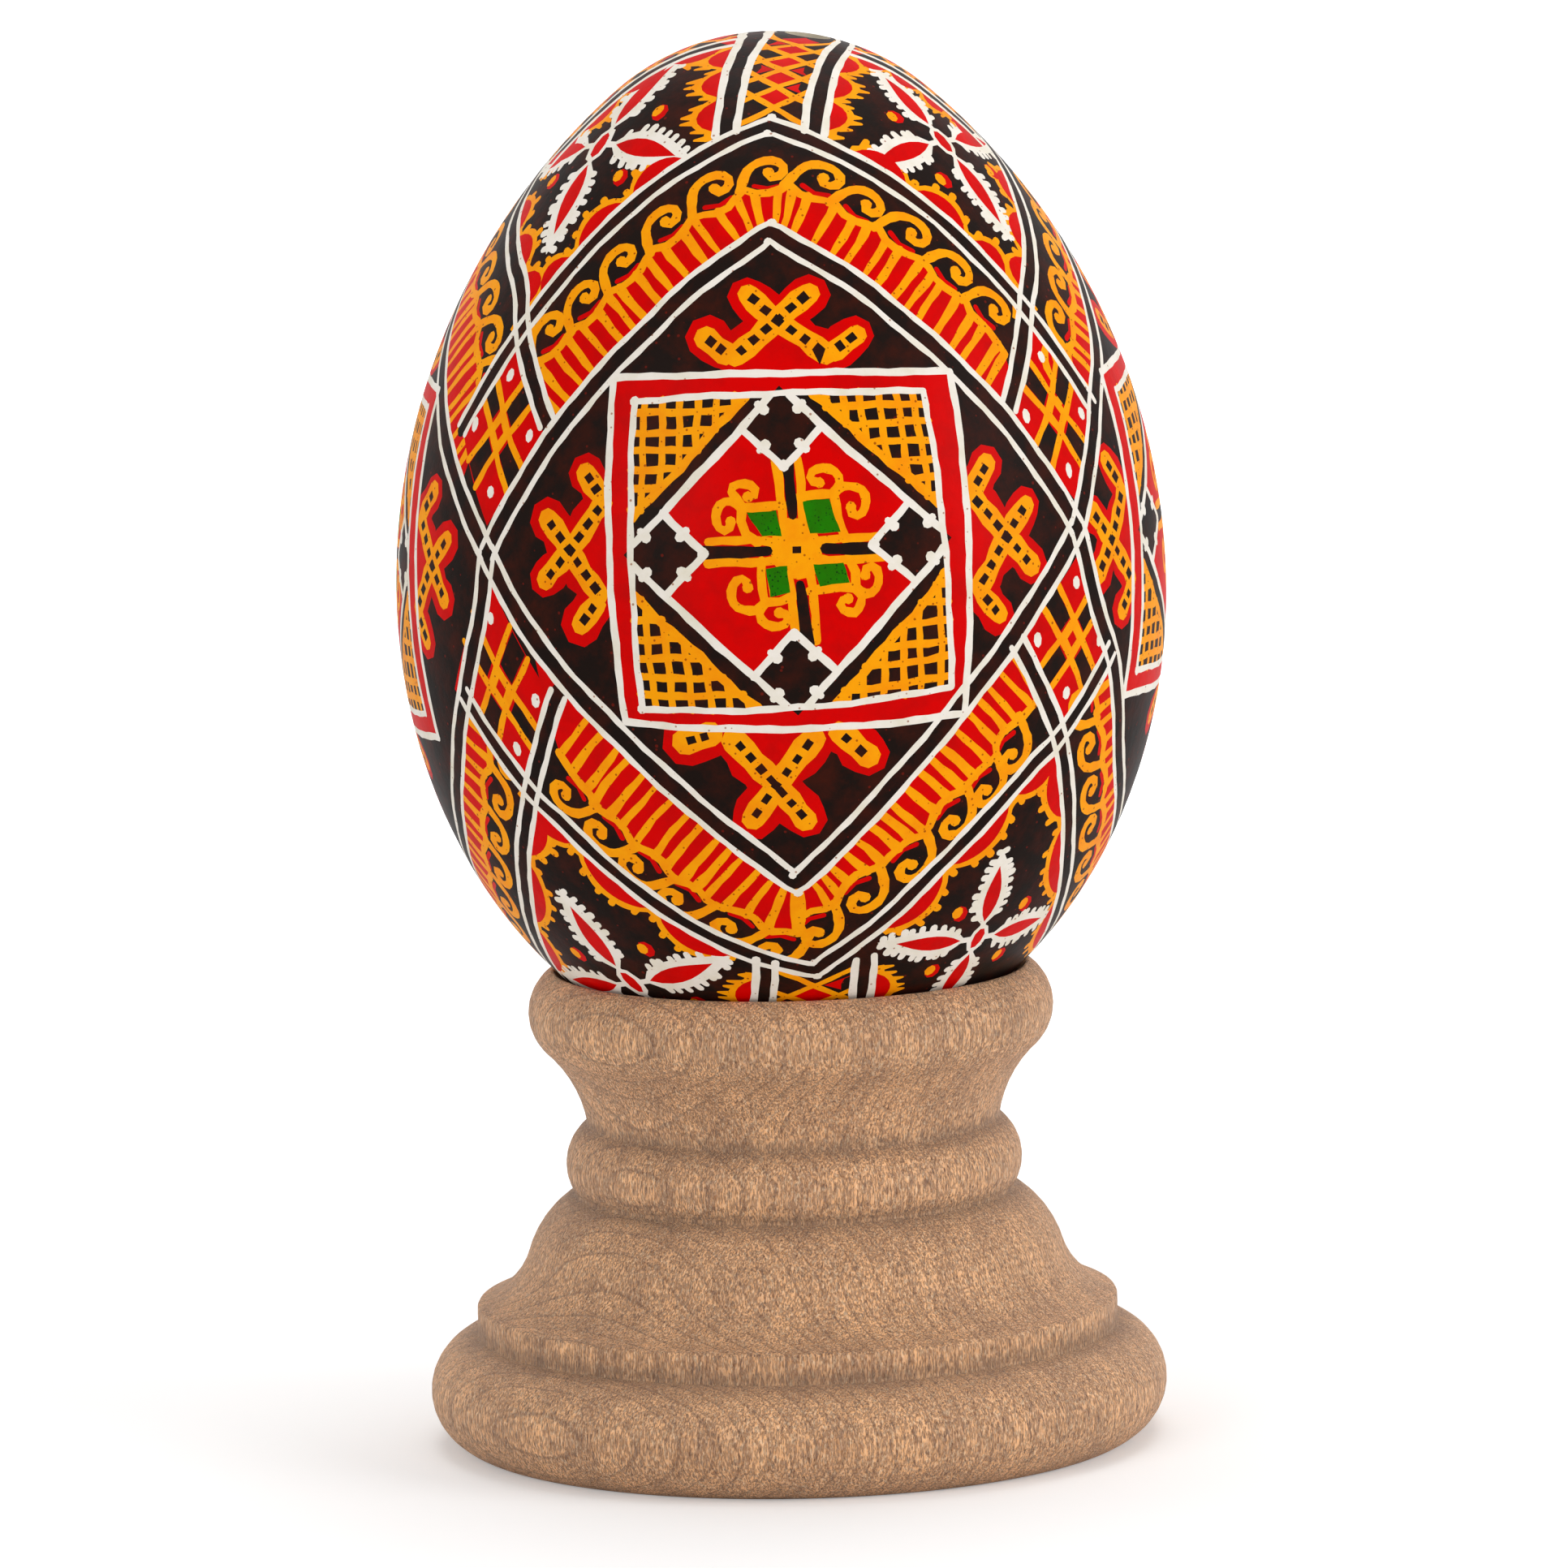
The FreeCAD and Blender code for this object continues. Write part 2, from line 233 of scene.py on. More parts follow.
class Drawing:
    """Lines and areas of dye on the egg's chart, painted layer over layer."""

    def __init__(self):
        self.loops, self.paints = [], []
        self.dice = random.Random(11)

    def put(self, dye, layer, outline, pieces):
        scale = np.array([GIRTH, 1.0])
        for shift in (-360, 0, 360):
            moved = (outline + [shift, 0]) * scale
            if moved[:, 0].max() < -180 * GIRTH or moved[:, 0].min() > 180 * GIRTH:
                continue
            self.loops.append(moved)
            for piece in pieces:
                self.paints.append((layer, len(self.paints), dye, (piece + [shift, 0]) * scale))

    def line(self, dye, points, width=0.4, layer=STROKE, curved=True, step=0.74, sway=0.03,
             taper=(1.0, 1.0)):
        """A line drawn by hand: it sways a little, and its width changes as it goes."""
        p, at = flow(points, step, curved)
        a, b, c, d = (self.dice.uniform(0, TURN) for _ in range(4))
        p = beside(p, sway * (np.sin(at * 1.1 + a) + 0.6 * np.sin(at * 3.1 + b)))
        half = width / 2 * (1 + 0.09 * np.sin(at * 3.1 + c) + 0.07 * np.sin(at * 7.7 + d))
        half = half * np.linspace(taper[0], taper[1], len(half))
        left, right = beside(p, half), beside(p, -half)
        way, k = headings(p)
        caps = []
        for i, turn in ((0, math.pi), (-1, 0)):
            angle = math.atan2(way[i, 1], way[i, 0]) + turn
            around = angle + np.radians([48, 0, -48])
            caps.append(p[i] + half[i] * np.stack([np.cos(around) / k[i], np.sin(around)], 1))
        start, end = caps
        outline = np.vstack([left, end, right[::-1], start])
        pieces = []
        for i in range(0, len(p) - 1, 6):
            j = min(i + 6, len(p) - 1)
            piece = [left[i:j + 1]] + ([end] if j == len(p) - 1 else [])
            piece += [right[i:j + 1][::-1]] + ([start] if i == 0 else [])
            pieces.append(np.vstack(piece))
        self.put(dye, layer, outline, pieces)

    def area(self, dye, points, layer=FILL, curved=False, step=0.9, sway=0.0):
        """A filled patch inside a closed outline."""
        p = np.asarray(points, float)
        if curved:
            p = flow(p, step, closed=True)[0][:-1]
        else:
            sides = [flow([a, b], step, False)[0][:-1] for a, b in zip(p, np.roll(p, -1, 0))]
            p = np.vstack(sides)
        if sway:
            wave = np.arange(len(p)) * step
            a, b = self.dice.uniform(0, TURN), self.dice.uniform(0, TURN)
            p = beside(p, sway * (np.sin(wave * 2.3 + a) + 0.6 * np.sin(wave * 5.1 + b)))
        self.put(dye, layer, p, [p])

    def dot(self, dye, place, wide, high=None, layer=MARK, turn=0.0, points=8):
        """A small round or oval touch of dye."""
        t = np.linspace(0, TURN, points, endpoint=False) + self.dice.uniform(0, 1)
        size = 1 + np.array([self.dice.uniform(-0.07, 0.07) for _ in t])
        x, y = wide * np.cos(t) * size, (high or wide) * np.sin(t) * size
        c, s = math.cos(turn * DEG), math.sin(turn * DEG)
        k = degree_at(place[1])
        p = np.stack([place[0] + (x * c - y * s) / k, place[1] + x * s + y * c], 1)
        self.put(dye, layer, p, [p])

    def cut_out(self):
        """Triangles of the whole chart with every line's edge in them, and each one's dye."""
        wide = 180 * GIRTH
        spots, faces = self.triangles(wide, np.linspace(LOWEST, HIGHEST, SEAM_ROWS))
        middle = spots[faces].mean(1)
        inside = (abs(middle[:, 0]) < wide) & (middle[:, 1] > LOWEST) & (middle[:, 1] < HIGHEST)
        faces, middle = faces[inside], middle[inside]
        used, faces = np.unique(faces, return_inverse=True)
        return even_seam(spots[used], faces.reshape(-1, 3), self.dyes_of(middle), wide)

    def triangles(self, wide, seam):
        places, edges = [], []

        def chain(points):
            first = len(places)
            places.extend(Vector(p) for p in points.tolist())
            edges.extend((i, i + 1) for i in range(first, len(places) - 1))
            edges.append((len(places) - 1, first))

        across = np.linspace(-wide, wide, RIM_POINTS)
        chain(np.vstack([
            np.stack([across, np.full(RIM_POINTS, LOWEST)], 1)[:-1],
            np.stack([np.full(len(seam), wide), seam], 1)[:-1],
            np.stack([across[::-1], np.full(RIM_POINTS, HIGHEST)], 1)[:-1],
            np.stack([np.full(len(seam), -wide), seam[::-1]], 1)[:-1]]))
        for loop in self.loops:
            chain(loop)
        for row, v in enumerate(np.linspace(LOWEST, HIGHEST, CHART_ROWS)[1:-1]):
            count = max(24, int(TURN * float(radius_at(v)) / CHART_SPACING))
            x = (np.arange(count) + 0.25 + 0.5 * (row % 2)) / count * 2 * wide - wide
            places.extend(Vector((a, float(v))) for a in x)
        found = delaunay_2d_cdt(places, edges, [], 0, 1e-4, False)
        return np.array([tuple(p) for p in found[0]]), np.array(found[2])

    def dyes_of(self, middle):
        order = np.argsort(middle[:, 1])
        rows = middle[order]
        dyes = np.full(len(rows), BLACK)
        for _, _, dye, polygon in sorted(self.paints, key=lambda paint: paint[:2]):
            low, high = np.searchsorted(rows[:, 1], (polygon[:, 1].min(), polygon[:, 1].max()))
            near = rows[low:high]
            close = np.nonzero((near[:, 0] >= polygon[:, 0].min())
                               & (near[:, 0] <= polygon[:, 0].max()))[0]
            if len(close):
                hit = close[winding(polygon, near[close]) != 0]
                dyes[low + hit] = dye
        result = np.empty_like(dyes)
        result[order] = dyes
        return result


def even_seam(spots, faces, dyes, wide):
    """Splits triangles at the chart's two edges until both edges have the same points."""
    spots, faces, dyes = spots.tolist(), faces.tolist(), list(dyes)
    sides = []
    for x in (-wide, wide):
        on = {i for i, p in enumerate(spots) if abs(p[0] - x) < 1e-4}
        for i in on:
            spots[i][0] = x
        owner = {}
        for number, face in enumerate(faces):
            if sum(i in on for i in face) > 1:
                for i, j in zip(face, face[1:] + face[:1]):
                    if i in on and j in on:
                        owner[frozenset((i, j))] = number
        sides.append([sorted(on, key=lambda i: spots[i][1]), owner, x])
    at = 1
    while at < max(len(sides[0][0]), len(sides[1][0])):
        heights = [spots[side[0][at]][1] for side in sides]
        if abs(heights[0] - heights[1]) > 3e-4:
            lower = int(heights[1] < heights[0])
            run, owner, x = sides[1 - lower]
            i, j = run[at - 1], run[at]
            number = owner.pop(frozenset((i, j)))
            new = len(spots)
            spots.append([x, heights[lower]])
            face = faces[number]
            faces[number] = [new if k == j else k for k in face]
            faces.append([new if k == i else k for k in face])
            dyes.append(dyes[number])
            owner[frozenset((i, new))] = number
            owner[frozenset((new, j))] = len(faces) - 1
            for k in (i, j):
                for other in set(face) - {i, j}:
                    edge = frozenset((k, other))
                    if owner.get(edge) == number and k == j:
                        owner[edge] = len(faces) - 1
            run.insert(at, new)
        at += 1
    return np.array(spots), np.array(faces), np.array(dyes)


# ---------------------------------------------------------------- where the pattern goes

# Guide lines from pole to pole: middles of the four panels and the borders between them.
# A design place is (q, v): q = 0, 2, 4, 6 are the middles, 1, 3, 5, 7 the borders.
GUIDE_ARCS = (-38, -22.7, -15.5, -8.4, 4.4, 16.6, 22.5, 30.5, 42)
GUIDES = np.array([
    (5.0, 6.5, 1.2, 1.4, 1.2, 0.4, -0.7, -1.3, 0.0),
    (46.0, 45.8, 45.7, 45.8, 50.0, 50.9, 51.3, 51.5, 50.0),
    (95.0, 95.5, 93.8, 93.6, 93.4, 93.0, 92.6, 92.0, 92.0),
    (138.0, 138.0, 137.5, 137.4, 136.6, 137.2, 137.0, 136.6, 137.0),
    (183.0, 183.5, 181.0, 180.8, 180.4, 180.2, 179.6, 179.4, 180.0),
    (226.0, 225.5, 224.6, 224.0, 223.4, 223.8, 223.6, 223.0, 224.0),
    (268.0, 268.6, 267.6, 267.4, 267.2, 267.0, 266.8, 267.2, 268.0),
    (316.0, 316.8, 316.6, 316.3, 310.9, 309.2, 309.0, 309.0, 310.0),
])


def design(points):
    """Chart places for design places (q, v)."""
    p = np.atleast_2d(np.asarray(points, float))
    turns, q = np.divmod(p[:, 0], 8)
    first = q.astype(int)
    lines = np.array([np.interp(p[:, 1], GUIDE_ARCS, g) for g in GUIDES])
    pick = np.arange(len(p))
    a = lines[first, pick]
    b = lines[(first + 1) % 8, pick] + np.where(first == 7, 360, 0)
    lon = a + (b - a) * (q - first) + 360 * turns
    return np.stack([lon, p[:, 1]], 1)


# Lines from a panel's middle (0) to its border (1) and past it, with their arcs.
FRONT_RIGHT = {
    "arm_up": ((0, 23.1), (0.19, 21.2), (0.338, 19.3), (0.45, 17.4), (0.587, 14.9), (0.729, 11.9),
               (0.87, 8.3), (1, 4.7)),
    "roof": ((0, 30.5), (0.258, 29.1), (0.523, 26.8), (0.725, 23.9), (0.86, 21.0), (1, 17.3),
             (1.235, 11.2)),
    "arm_down": ((0, -14.8), (0.141, -12.6), (0.282, -10.0), (0.431, -7.15), (0.567, -4.3),
                 (0.703, -1.5), (0.86, 1.9), (1, 4.7)),
    "keel": ((0, -21.2), (0.21, -19.2), (0.382, -17.2), (0.549, -14.5), (0.733, -11.3),
             (0.908, -8.3), (1, -7.0), (1.215, -2.4))}
FRONT_LEFT = dict(
    FRONT_RIGHT,
    arm_down=((0, -14.8), (0.184, -12.2), (0.34, -9.9), (0.49, -7.35), (0.628, -4.75),
              (0.771, -1.9), (0.894, 1.06), (1, 4.05)),
    keel=((0, -21.4), (0.21, -20.2), (0.38, -18.7), (0.55, -16.6), (0.73, -13.9), (0.9, -11.0),
          (1, -9.5), (1.215, -4.1)))
RIGHT_SIDE = {
    "arm_up": ((0, 21.5), (0.2, 19.9), (0.38, 17.4), (0.51, 15.1), (0.63, 13.1), (0.74, 11.3),
               (0.87, 8.2), (1, 4.7)),
    "roof": ((0, 28.5), (0.27, 26.2), (0.505, 23.8), (0.72, 21.1), (0.858, 19.3), (1, 17.3),
             (1.215, 11.9)),
    "arm_down": ((0, -17.5), (0.3, -14.0), (0.5, -11.0), (0.616, -8.4), (0.69, -5.9),
                 (0.766, -3.1), (0.855, -1.0), (0.92, 1.2), (1, 4.7)),
    "keel": ((0, -25.0), (0.296, -22.8), (0.498, -20.0), (0.64, -17.4), (0.78, -14.0),
             (0.88, -10.9), (1, -7.0), (1.25, -1.2))}
LEFT_SIDE = {
    "arm_up": ((0, 19.5), (0.15, 17.5), (0.306, 15.1), (0.52, 12.1), (0.65, 10.0), (0.76, 8.3),
               (0.85, 6.8), (1, 4.05)),
    "roof": ((0, 27.0), (0.2, 25.2), (0.4, 23.2), (0.68, 21.0), (0.87, 19.3), (1, 16.8),
             (1.21, 11.6)),
    "arm_down": ((0, -18.3), (0.2, -16.3), (0.41, -13.2), (0.545, -10.4), (0.63, -8.3),
                 (0.71, -6.2), (0.785, -4.2), (0.854, -2.2), (0.938, 0.5), (1, 4.05)),
    "keel": ((0, -25.5), (0.296, -23.5), (0.498, -20.9), (0.64, -18.5), (0.78, -15.4),
             (0.88, -12.6), (1, -9.2), (1.225, -3.2))}
PANEL_SIDES = ((FRONT_LEFT, FRONT_RIGHT), (RIGHT_SIDE, RIGHT_SIDE), (FRONT_RIGHT, FRONT_RIGHT),
               (LEFT_SIDE, LEFT_SIDE))
# Arcs at which the lines of two neighbours meet on each border.
NODES = {1: {"arm": 4.7, "roof": 17.3, "keel": -7.0}, 3: {"arm": 4.2, "roof": 16.8, "keel": -8.4},
         5: {"arm": 4.4, "roof": 17.0, "keel": -8.0}, 7: {"arm": 4.05, "roof": 16.8, "keel": -9.5}}
# Plants between the panels: longitude, arc, lean in degrees and size, above and below.
PLANTS = {1: ((55.8, 28.5, -1, 1.05), (41.3, -19.8, 3, 0.97)),
          3: ((137.0, 28.2, -3, 1.0), (138.0, -21.5, -4, 1.0)),
          5: ((223.0, 28.4, 3, 1.0), (225.5, -22.0, 5, 1.0)),
          7: ((302.7, 28.7, 8, 1.1), (320.9, -22.8, 13, 1.13))}
FRONT_INNER = ((-23.6, 13.0), (24.4, 13.2), (25.2, -3.3), (-21.2, -4.1))
SQUARES = (
    ((-0.557, 14.3), (0.585, 14.2), (0.575, -4.9), (-0.545, -4.9)),
    ((-0.60, 13.0), (0.57, 13.8), (0.58, -4.9), (-0.66, -5.3)),
    ((-0.57, 14.1), (0.56, 14.4), (0.59, -5.0), (-0.56, -4.6)),
    ((-0.46, 12.4), (0.45, 12.6), (0.53, -7.1), (-0.54, -6.9)),
)


def panel_path(panel, points, side=1):
    return design([(2 * panel + side * x, v) for x, v in points])


def side_line(panel, side, kind):
    """One line of a panel, from its middle to the border on one side and past it."""
    table = PANEL_SIDES[panel][side > 0][kind]
    node = NODES[(2 * panel + side) % 8][kind.split("_")[0]]
    off = node - dict(table)[1]
    path = [(x, v + off * min(x, 1.0) ** 2) for x, v in table]
    return flow(panel_path(panel, path, side), 0.35)[0]


def whole_line(panel, kind):
    """One line of a panel right across it, from left to right."""
    return np.vstack([side_line(panel, -1, kind)[::-1], side_line(panel, 1, kind)[1:]])


def double_line(art, p, spread=0.58, width=0.35):
    """Two white lines with a dark gap between them."""
    art.line(BLACK, p, 2 * spread, GAP, curved=False, sway=0.0)
    for side in (-spread, spread):
        art.line(WHITE, beside(p, side), width, WAX, curved=False, step=0.7)


def frame_lines(art, panel):
    """The big diamond round a panel, and the roof and keel outside it."""
    for kind, spread in (("arm_up", 0.58), ("arm_down", 0.58), ("roof", 0.52), ("keel", 0.5)):
        double_line(art, whole_line(panel, kind), spread)
        tip = side_line(panel, 1, kind)[0]
        out = 0.6 if kind in ("arm_up", "roof") else -0.6
        art.dot(WHITE, tip + (0.5, out), 0.27, layer=WAX)
        art.dot(WHITE, tip - (0.4, out), 0.24, layer=WAX)


# ---------------------------------------------------------------- the square in each panel

def patch(corners):
    """Lays places from -1 to 1 between four corners, clockwise from top left."""
    top_left, top_right, low_right, low_left = (np.asarray(c, float) for c in corners)

    def lay(points):
        p = np.atleast_2d(np.asarray(points, float))
        a, b = ((p + 1) / 2).T[..., None]
        bow = 0.35 * (1 - p[:, :1] ** 2) * p[:, 1:] * [[0, 1]]
        return (top_left * (1 - a) + top_right * a) * b \
            + (low_left * (1 - a) + low_right * a) * (1 - b) + bow

    return lay


def inset(corners, across, up):
    """Corners of a four-sided patch drawn in by so many millimetres each way."""
    signs = ((1, -1), (-1, -1), (-1, 1), (1, 1))
    return [np.asarray(c) + (sx * across / GIRTH, sy * up) for c, (sx, sy) in zip(corners, signs)]


def border_square(art, outer, inner):
    """A red band between two white lines, dark inside."""
    ring = [(-1, 1), (1, 1), (1, -1), (-1, -1)]
    edge = np.vstack([np.linspace(a, b, 14)[:-1] for a, b in zip(ring, ring[1:] + ring[:1])])
    art.area(RED, outer(edge), FILL)
    art.area(BLACK, inner(edge), FILL)
    for a, b in zip(ring, ring[1:] + ring[:1]):
        run = np.linspace(a, b, 9)
        art.line(WHITE, outer(run), 0.42, WAX)
        art.line(WHITE, inner(run), 0.38, WAX, sway=0.04)
        if art.dice.random() < 0.6:
            art.dot(WHITE, inner([a])[0], 0.3, layer=WAX)


def corner_net(art, inner, sx, sy):
    """A net of yellow lines across one corner of the square, closed by a dark diagonal."""
    slope = 1.225 + art.dice.uniform(-0.02, 0.02)

    def put(points):
        return inner([(sx * a, sy * b) for a, b in points])

    art.line(YELLOW, put([(0.99, slope - 0.99), (slope - 0.99, 0.99)]), 0.5, sway=0.06)
    for k in range(6):
        far = 0.92 - 0.124 * k + art.dice.uniform(-0.012, 0.012)
        end = slope - far
        if end < 0.97:
            art.line(YELLOW, put([(far, 1.0), (far + 0.01, end)]), 0.4, sway=0.05)
            art.line(YELLOW, put([(1.0, far), (end, far - 0.01)]), 0.42, sway=0.05)


def cross_diamond(art, inner, ax, ay):
    """A small white-edged diamond in one corner of the inner one, holding a dark cross."""
    reach, tip = 1.05, 0.52

    def put(points):
        return inner([(u * ax + w * ay, u * ay + w * ax) for u, w in points])

    side = (reach - tip) / 2
    corners = [(tip, 0), (tip + side, side), (reach, 0), (tip + side, -side)]
    art.area(BLACK, put(corners), GAP)
    art.line(WHITE, put([corners[0], corners[1]]), 0.42, WAX)
    art.line(WHITE, put([corners[0], corners[3]]), 0.42, WAX)
    art.dot(WHITE, put([(tip + 0.015, 0)])[0], 0.34, layer=WAX)
    middle = (tip + reach) / 2
    for u in (-1, 1):
        for w in (-1, 1):
            base = (middle + u * side * 0.42, w * side * 0.42)
            art.dot(WHITE, put([base])[0], 0.31, layer=WAX)
            art.line(WHITE, put([base, (middle + u * side * 0.56, w * side * 0.56)]), 0.44, WAX,
                     sway=0)


def flower_cross(art, inner, own):
    """Yellow cross with dark bars, four green quarters and eight curls, on red."""
    middle = inner([(0.05, 0.0)])[0]
    lay = laid_at(middle[0], middle[1], -1.5)
    lean = 0.11 if own else art.dice.uniform(-0.06, 0.06)

    def put(points):
        return lay([(x - lean * y * (abs(y) > abs(x)), y + 0.03 * x) for x, y in points])

    for s in (-1, 1):
        for off in (-0.56, 0.56):
            art.line(YELLOW, put([(0.1 * off, s * 0.3), (off, s * 1.5), (off * 1.05, s * 5.0)]),
                     0.5, sway=0.05)
            art.line(YELLOW, put([(s * 0.3, 0.1 * off), (s * 1.5, off), (s * 4.9, off * 1.05)]),
                     0.5, sway=0.05)
        art.line(BLACK, put([(0, s * 1.9), (0, s * 5.2)]), 0.66, MARK, taper=(0.75, 1.1), sway=0.02)
        art.line(BLACK, put([(s * 1.6, 0), (s * 5.2, 0)]), 0.66, MARK, taper=(0.9, 1.05), sway=0.02)
    art.area(YELLOW, put([(-1.5, 0.3), (-1, 1.3), (-0.3, 1.8), (0.3, 1.8), (1, 1.3), (1.4, 0.3),
                          (1.4, -0.3), (1, -1.3), (0.3, -1.6), (-0.3, -1.6), (-1, -1.3),
                          (-1.5, -0.3)]), STROKE, curved=True)
    art.area(BLACK, put([(-0.24, 0.2), (0.24, 0.2), (0.24, -0.18), (-0.24, -0.18)]), MARK, step=0.3)
    quarters = {(1, 1): ((0.62, 2.65), (2.1, 2.75), (2.4, 0.95), (0.8, 0.85)),
                (-1, 1): ((0.9, 2.2), (2.75, 2.15), (1.9, 0.8), (0.85, 0.8)),
                (-1, -1): ((0.62, 2.3), (1.75, 2.55), (1.7, 1.0), (0.62, 0.85)),
                (1, -1): ((1.05, 2.0), (2.95, 1.9), (2.55, 0.8), (0.9, 0.8))}
    for (sx, sy), shape in quarters.items():
        if not own:
            shape = [(x + art.dice.uniform(-0.2, 0.2), y + art.dice.uniform(-0.2, 0.2))
                     for x, y in ((0.75, 2.4), (2.3, 2.4), (2.3, 0.9), (0.8, 0.85))]
        quarter = put([(sx * x, sy * y) for x, y in shape])
        art.area(YELLOW, quarter, STROKE)
        art.area(GREEN, quarter, MARK, step=0.35, sway=0.03)
        cx, cy = shape[1][0] + 0.3, shape[1][1] + 0.3
        tip = (sx * cx, sy * cy)
        art.line(YELLOW, put([(sx * 0.45, sy * (shape[0][1] + 0.25)),
                              (sx * cx * 0.55, sy * (cy - 0.05)), tip]), 0.5)
        art.line(YELLOW, put([(sx * (shape[2][0] + 0.25), sy * 0.5),
                              (sx * (cx - 0.05), sy * cy * 0.5), tip]), 0.5)
        curl = ((-0.05, 0.0), (0.38, 0.6), (0.22, 1.2), (-0.45, 1.5), (-1.15, 1.3), (-1.3, 0.8),
                (-0.8, 0.62))
        for flip in (False, True):
            path = [(y, x) if flip else (x, y) for x, y in curl]
            size = art.dice.uniform(0.85, 1.05)
            path = [(sx * (cx + x * size), sy * (cy + y * size)) for x, y in path]
            art.line(YELLOW, put(path), 0.5, step=0.34, sway=0.02)
            art.dot(YELLOW, put([path[-1]])[0], 0.31, layer=STROKE)


# The front's lower cross is larger and less even than the others.
LOW_LADDERS = [[(0.65, -2.15), (3.35, 0.1), (5.4, 1.65)], [(0.35, -3.5), (0.8, -5.0)],
               [(0.6, 2.15), (3.35, 0.0), (5.3, -1.35)], [(0.3, 3.6), (1.9, 5.2)]]


def side_cross(art, foot, way, lift=0.0, ladders=None):
    """Two crossing ladders that stand on one side of the square, with a red glow round them."""
    lay = laid_at(foot[0], foot[1], way)
    size = 1.12 if ladders else 1.0

    def put(points):
        return lay([(t + lift * (t > 0.5), s) for t, s in points])

    tilt = art.dice.uniform(-0.12, 0.12)
    ladders = ladders or [
        path for s in (-1, 1) for path in (
            [(0.55, s * 2.5 + tilt), (2.5, 0.15 + tilt), (4.1, -s * 1.7 + 0.1)],
            [(0.75, s * 3.0 + tilt), (1.75, s * 4.2)])]
    for path in ladders:
        art.line(RED, put(path), 2.25 * size, FILL, curved=False, sway=0.08)
    art.area(RED, put([(-0.5, 3.0), (2.5, 0), (-0.5, -3.0)]), FILL)
    for path in ladders:
        art.line(YELLOW, put(path), 1.22 * size, STROKE, curved=False, sway=0.04)
    for path in ladders:
        p = np.array(path)
        length = np.concatenate([[0], np.cumsum(np.hypot(*np.diff(p, axis=0).T))])
        count = max(2, int(length[-1] / 0.86))
        for k in range(count):
            at = (k + 0.5) * length[-1] / count
            x, y = np.interp(at, length, p[:, 0]), np.interp(at, length, p[:, 1])
            d = p[-1] - p[0]
            angle = math.atan2(d[1], d[0])
            w, h = art.dice.uniform(0.22, 0.3), art.dice.uniform(0.2, 0.27)
            ring = [(-w, -h), (w, -h), (w, h), (-w, h)]
            ring = [(x + a * math.cos(angle) - b * math.sin(angle)
                     + art.dice.uniform(-0.04, 0.04),
                     y + a * math.sin(angle) + b * math.cos(angle)) for a, b in ring]
            art.area(BLACK, put(ring), MARK, step=0.5)


def square_panel(art, panel):
    corners = panel_path(panel, SQUARES[panel])
    outer = patch(corners)
    inner = patch(FRONT_INNER if panel == 0 else inset(corners, 1.5, 1.22))
    border_square(art, outer, inner)
    art.area(RED, inner([(0, 1.05), (1.05, 0), (0, -1.05), (-1.05, 0)]), FILL)
    for sx, sy in ((-1, 1), (1, 1), (1, -1), (-1, -1)):
        art.area(BLACK, inner([(sx, sy), (sx * 0.03, sy), (sx, sy * 0.03)]))
        corner_net(art, inner, sx, sy)
        art.line(WHITE, inner([(sx * 0.06, sy * 0.99), (sx * 0.53, sy * 0.52),
                               (sx * 0.99, sy * 0.06)]), 0.44, WAX)
    for ax, ay in ((0, 1), (1, 0), (0, -1), (-1, 0)):
        cross_diamond(art, inner, ax, ay)
        if panel == 0 and ay < 0:
            side_cross(art, outer([(-0.13, -1)])[0], -90, 0.0, LOW_LADDERS)
        else:
            side_cross(art, outer([(ax, ay)])[0], math.degrees(math.atan2(ay, ax)),
                       {1: 0.55, -1: 0.2}.get(ay, 0.0))
    flower_cross(art, inner, panel == 0)


# ---------------------------------------------------------------- waves and combs round the diamond

CURLS_UP = ((-0.865, 16.9), (-0.745, 18.9), (-0.625, 21.2), (-0.47, 23.8), (-0.265, 26.0),
            (0.0, 27.1), (0.262, 26.6), (0.43, 24.7), (0.595, 22.7), (0.73, 20.1), (0.84, 17.6))
CURLS_DOWN = ((-0.84, -9.5), (-0.725, -11.8), (-0.61, -13.9), (-0.48, -16.0), (-0.3, -18.0),
              (-0.14, -19.6), (0.06, -18.3), (0.275, -15.9), (0.455, -13.9), (0.6, -11.3),
              (0.715, -9.6), (0.8, -7.6))
CURL = ((-1.7, -1.15), (-1.42, -0.35), (-1.0, 0.38), (-0.3, 0.75), (0.45, 0.68), (0.88, 0.22),
        (0.7, -0.28), (0.2, -0.38), (-0.02, -0.06))


def curl_places(panel, kind, curls, inward):
    """Where a panel's curls sit: known places at the front, else along its roof or keel."""
    if panel == 0:
        return panel_path(0, curls)
    ends = [part_of(side_line(panel, side, kind), 0.02, 0.79) for side in (-1, 1)]
    middle = (ends[0][0, 0] + ends[1][0, 0]) / 2
    left, right = beside(ends[0][::-1], inward), beside(ends[1], inward)
    path = np.vstack([left[left[:, 0] < middle - 0.5], right[right[:, 0] > middle + 0.5]])
    return flow(path, 2.95, False)[0]


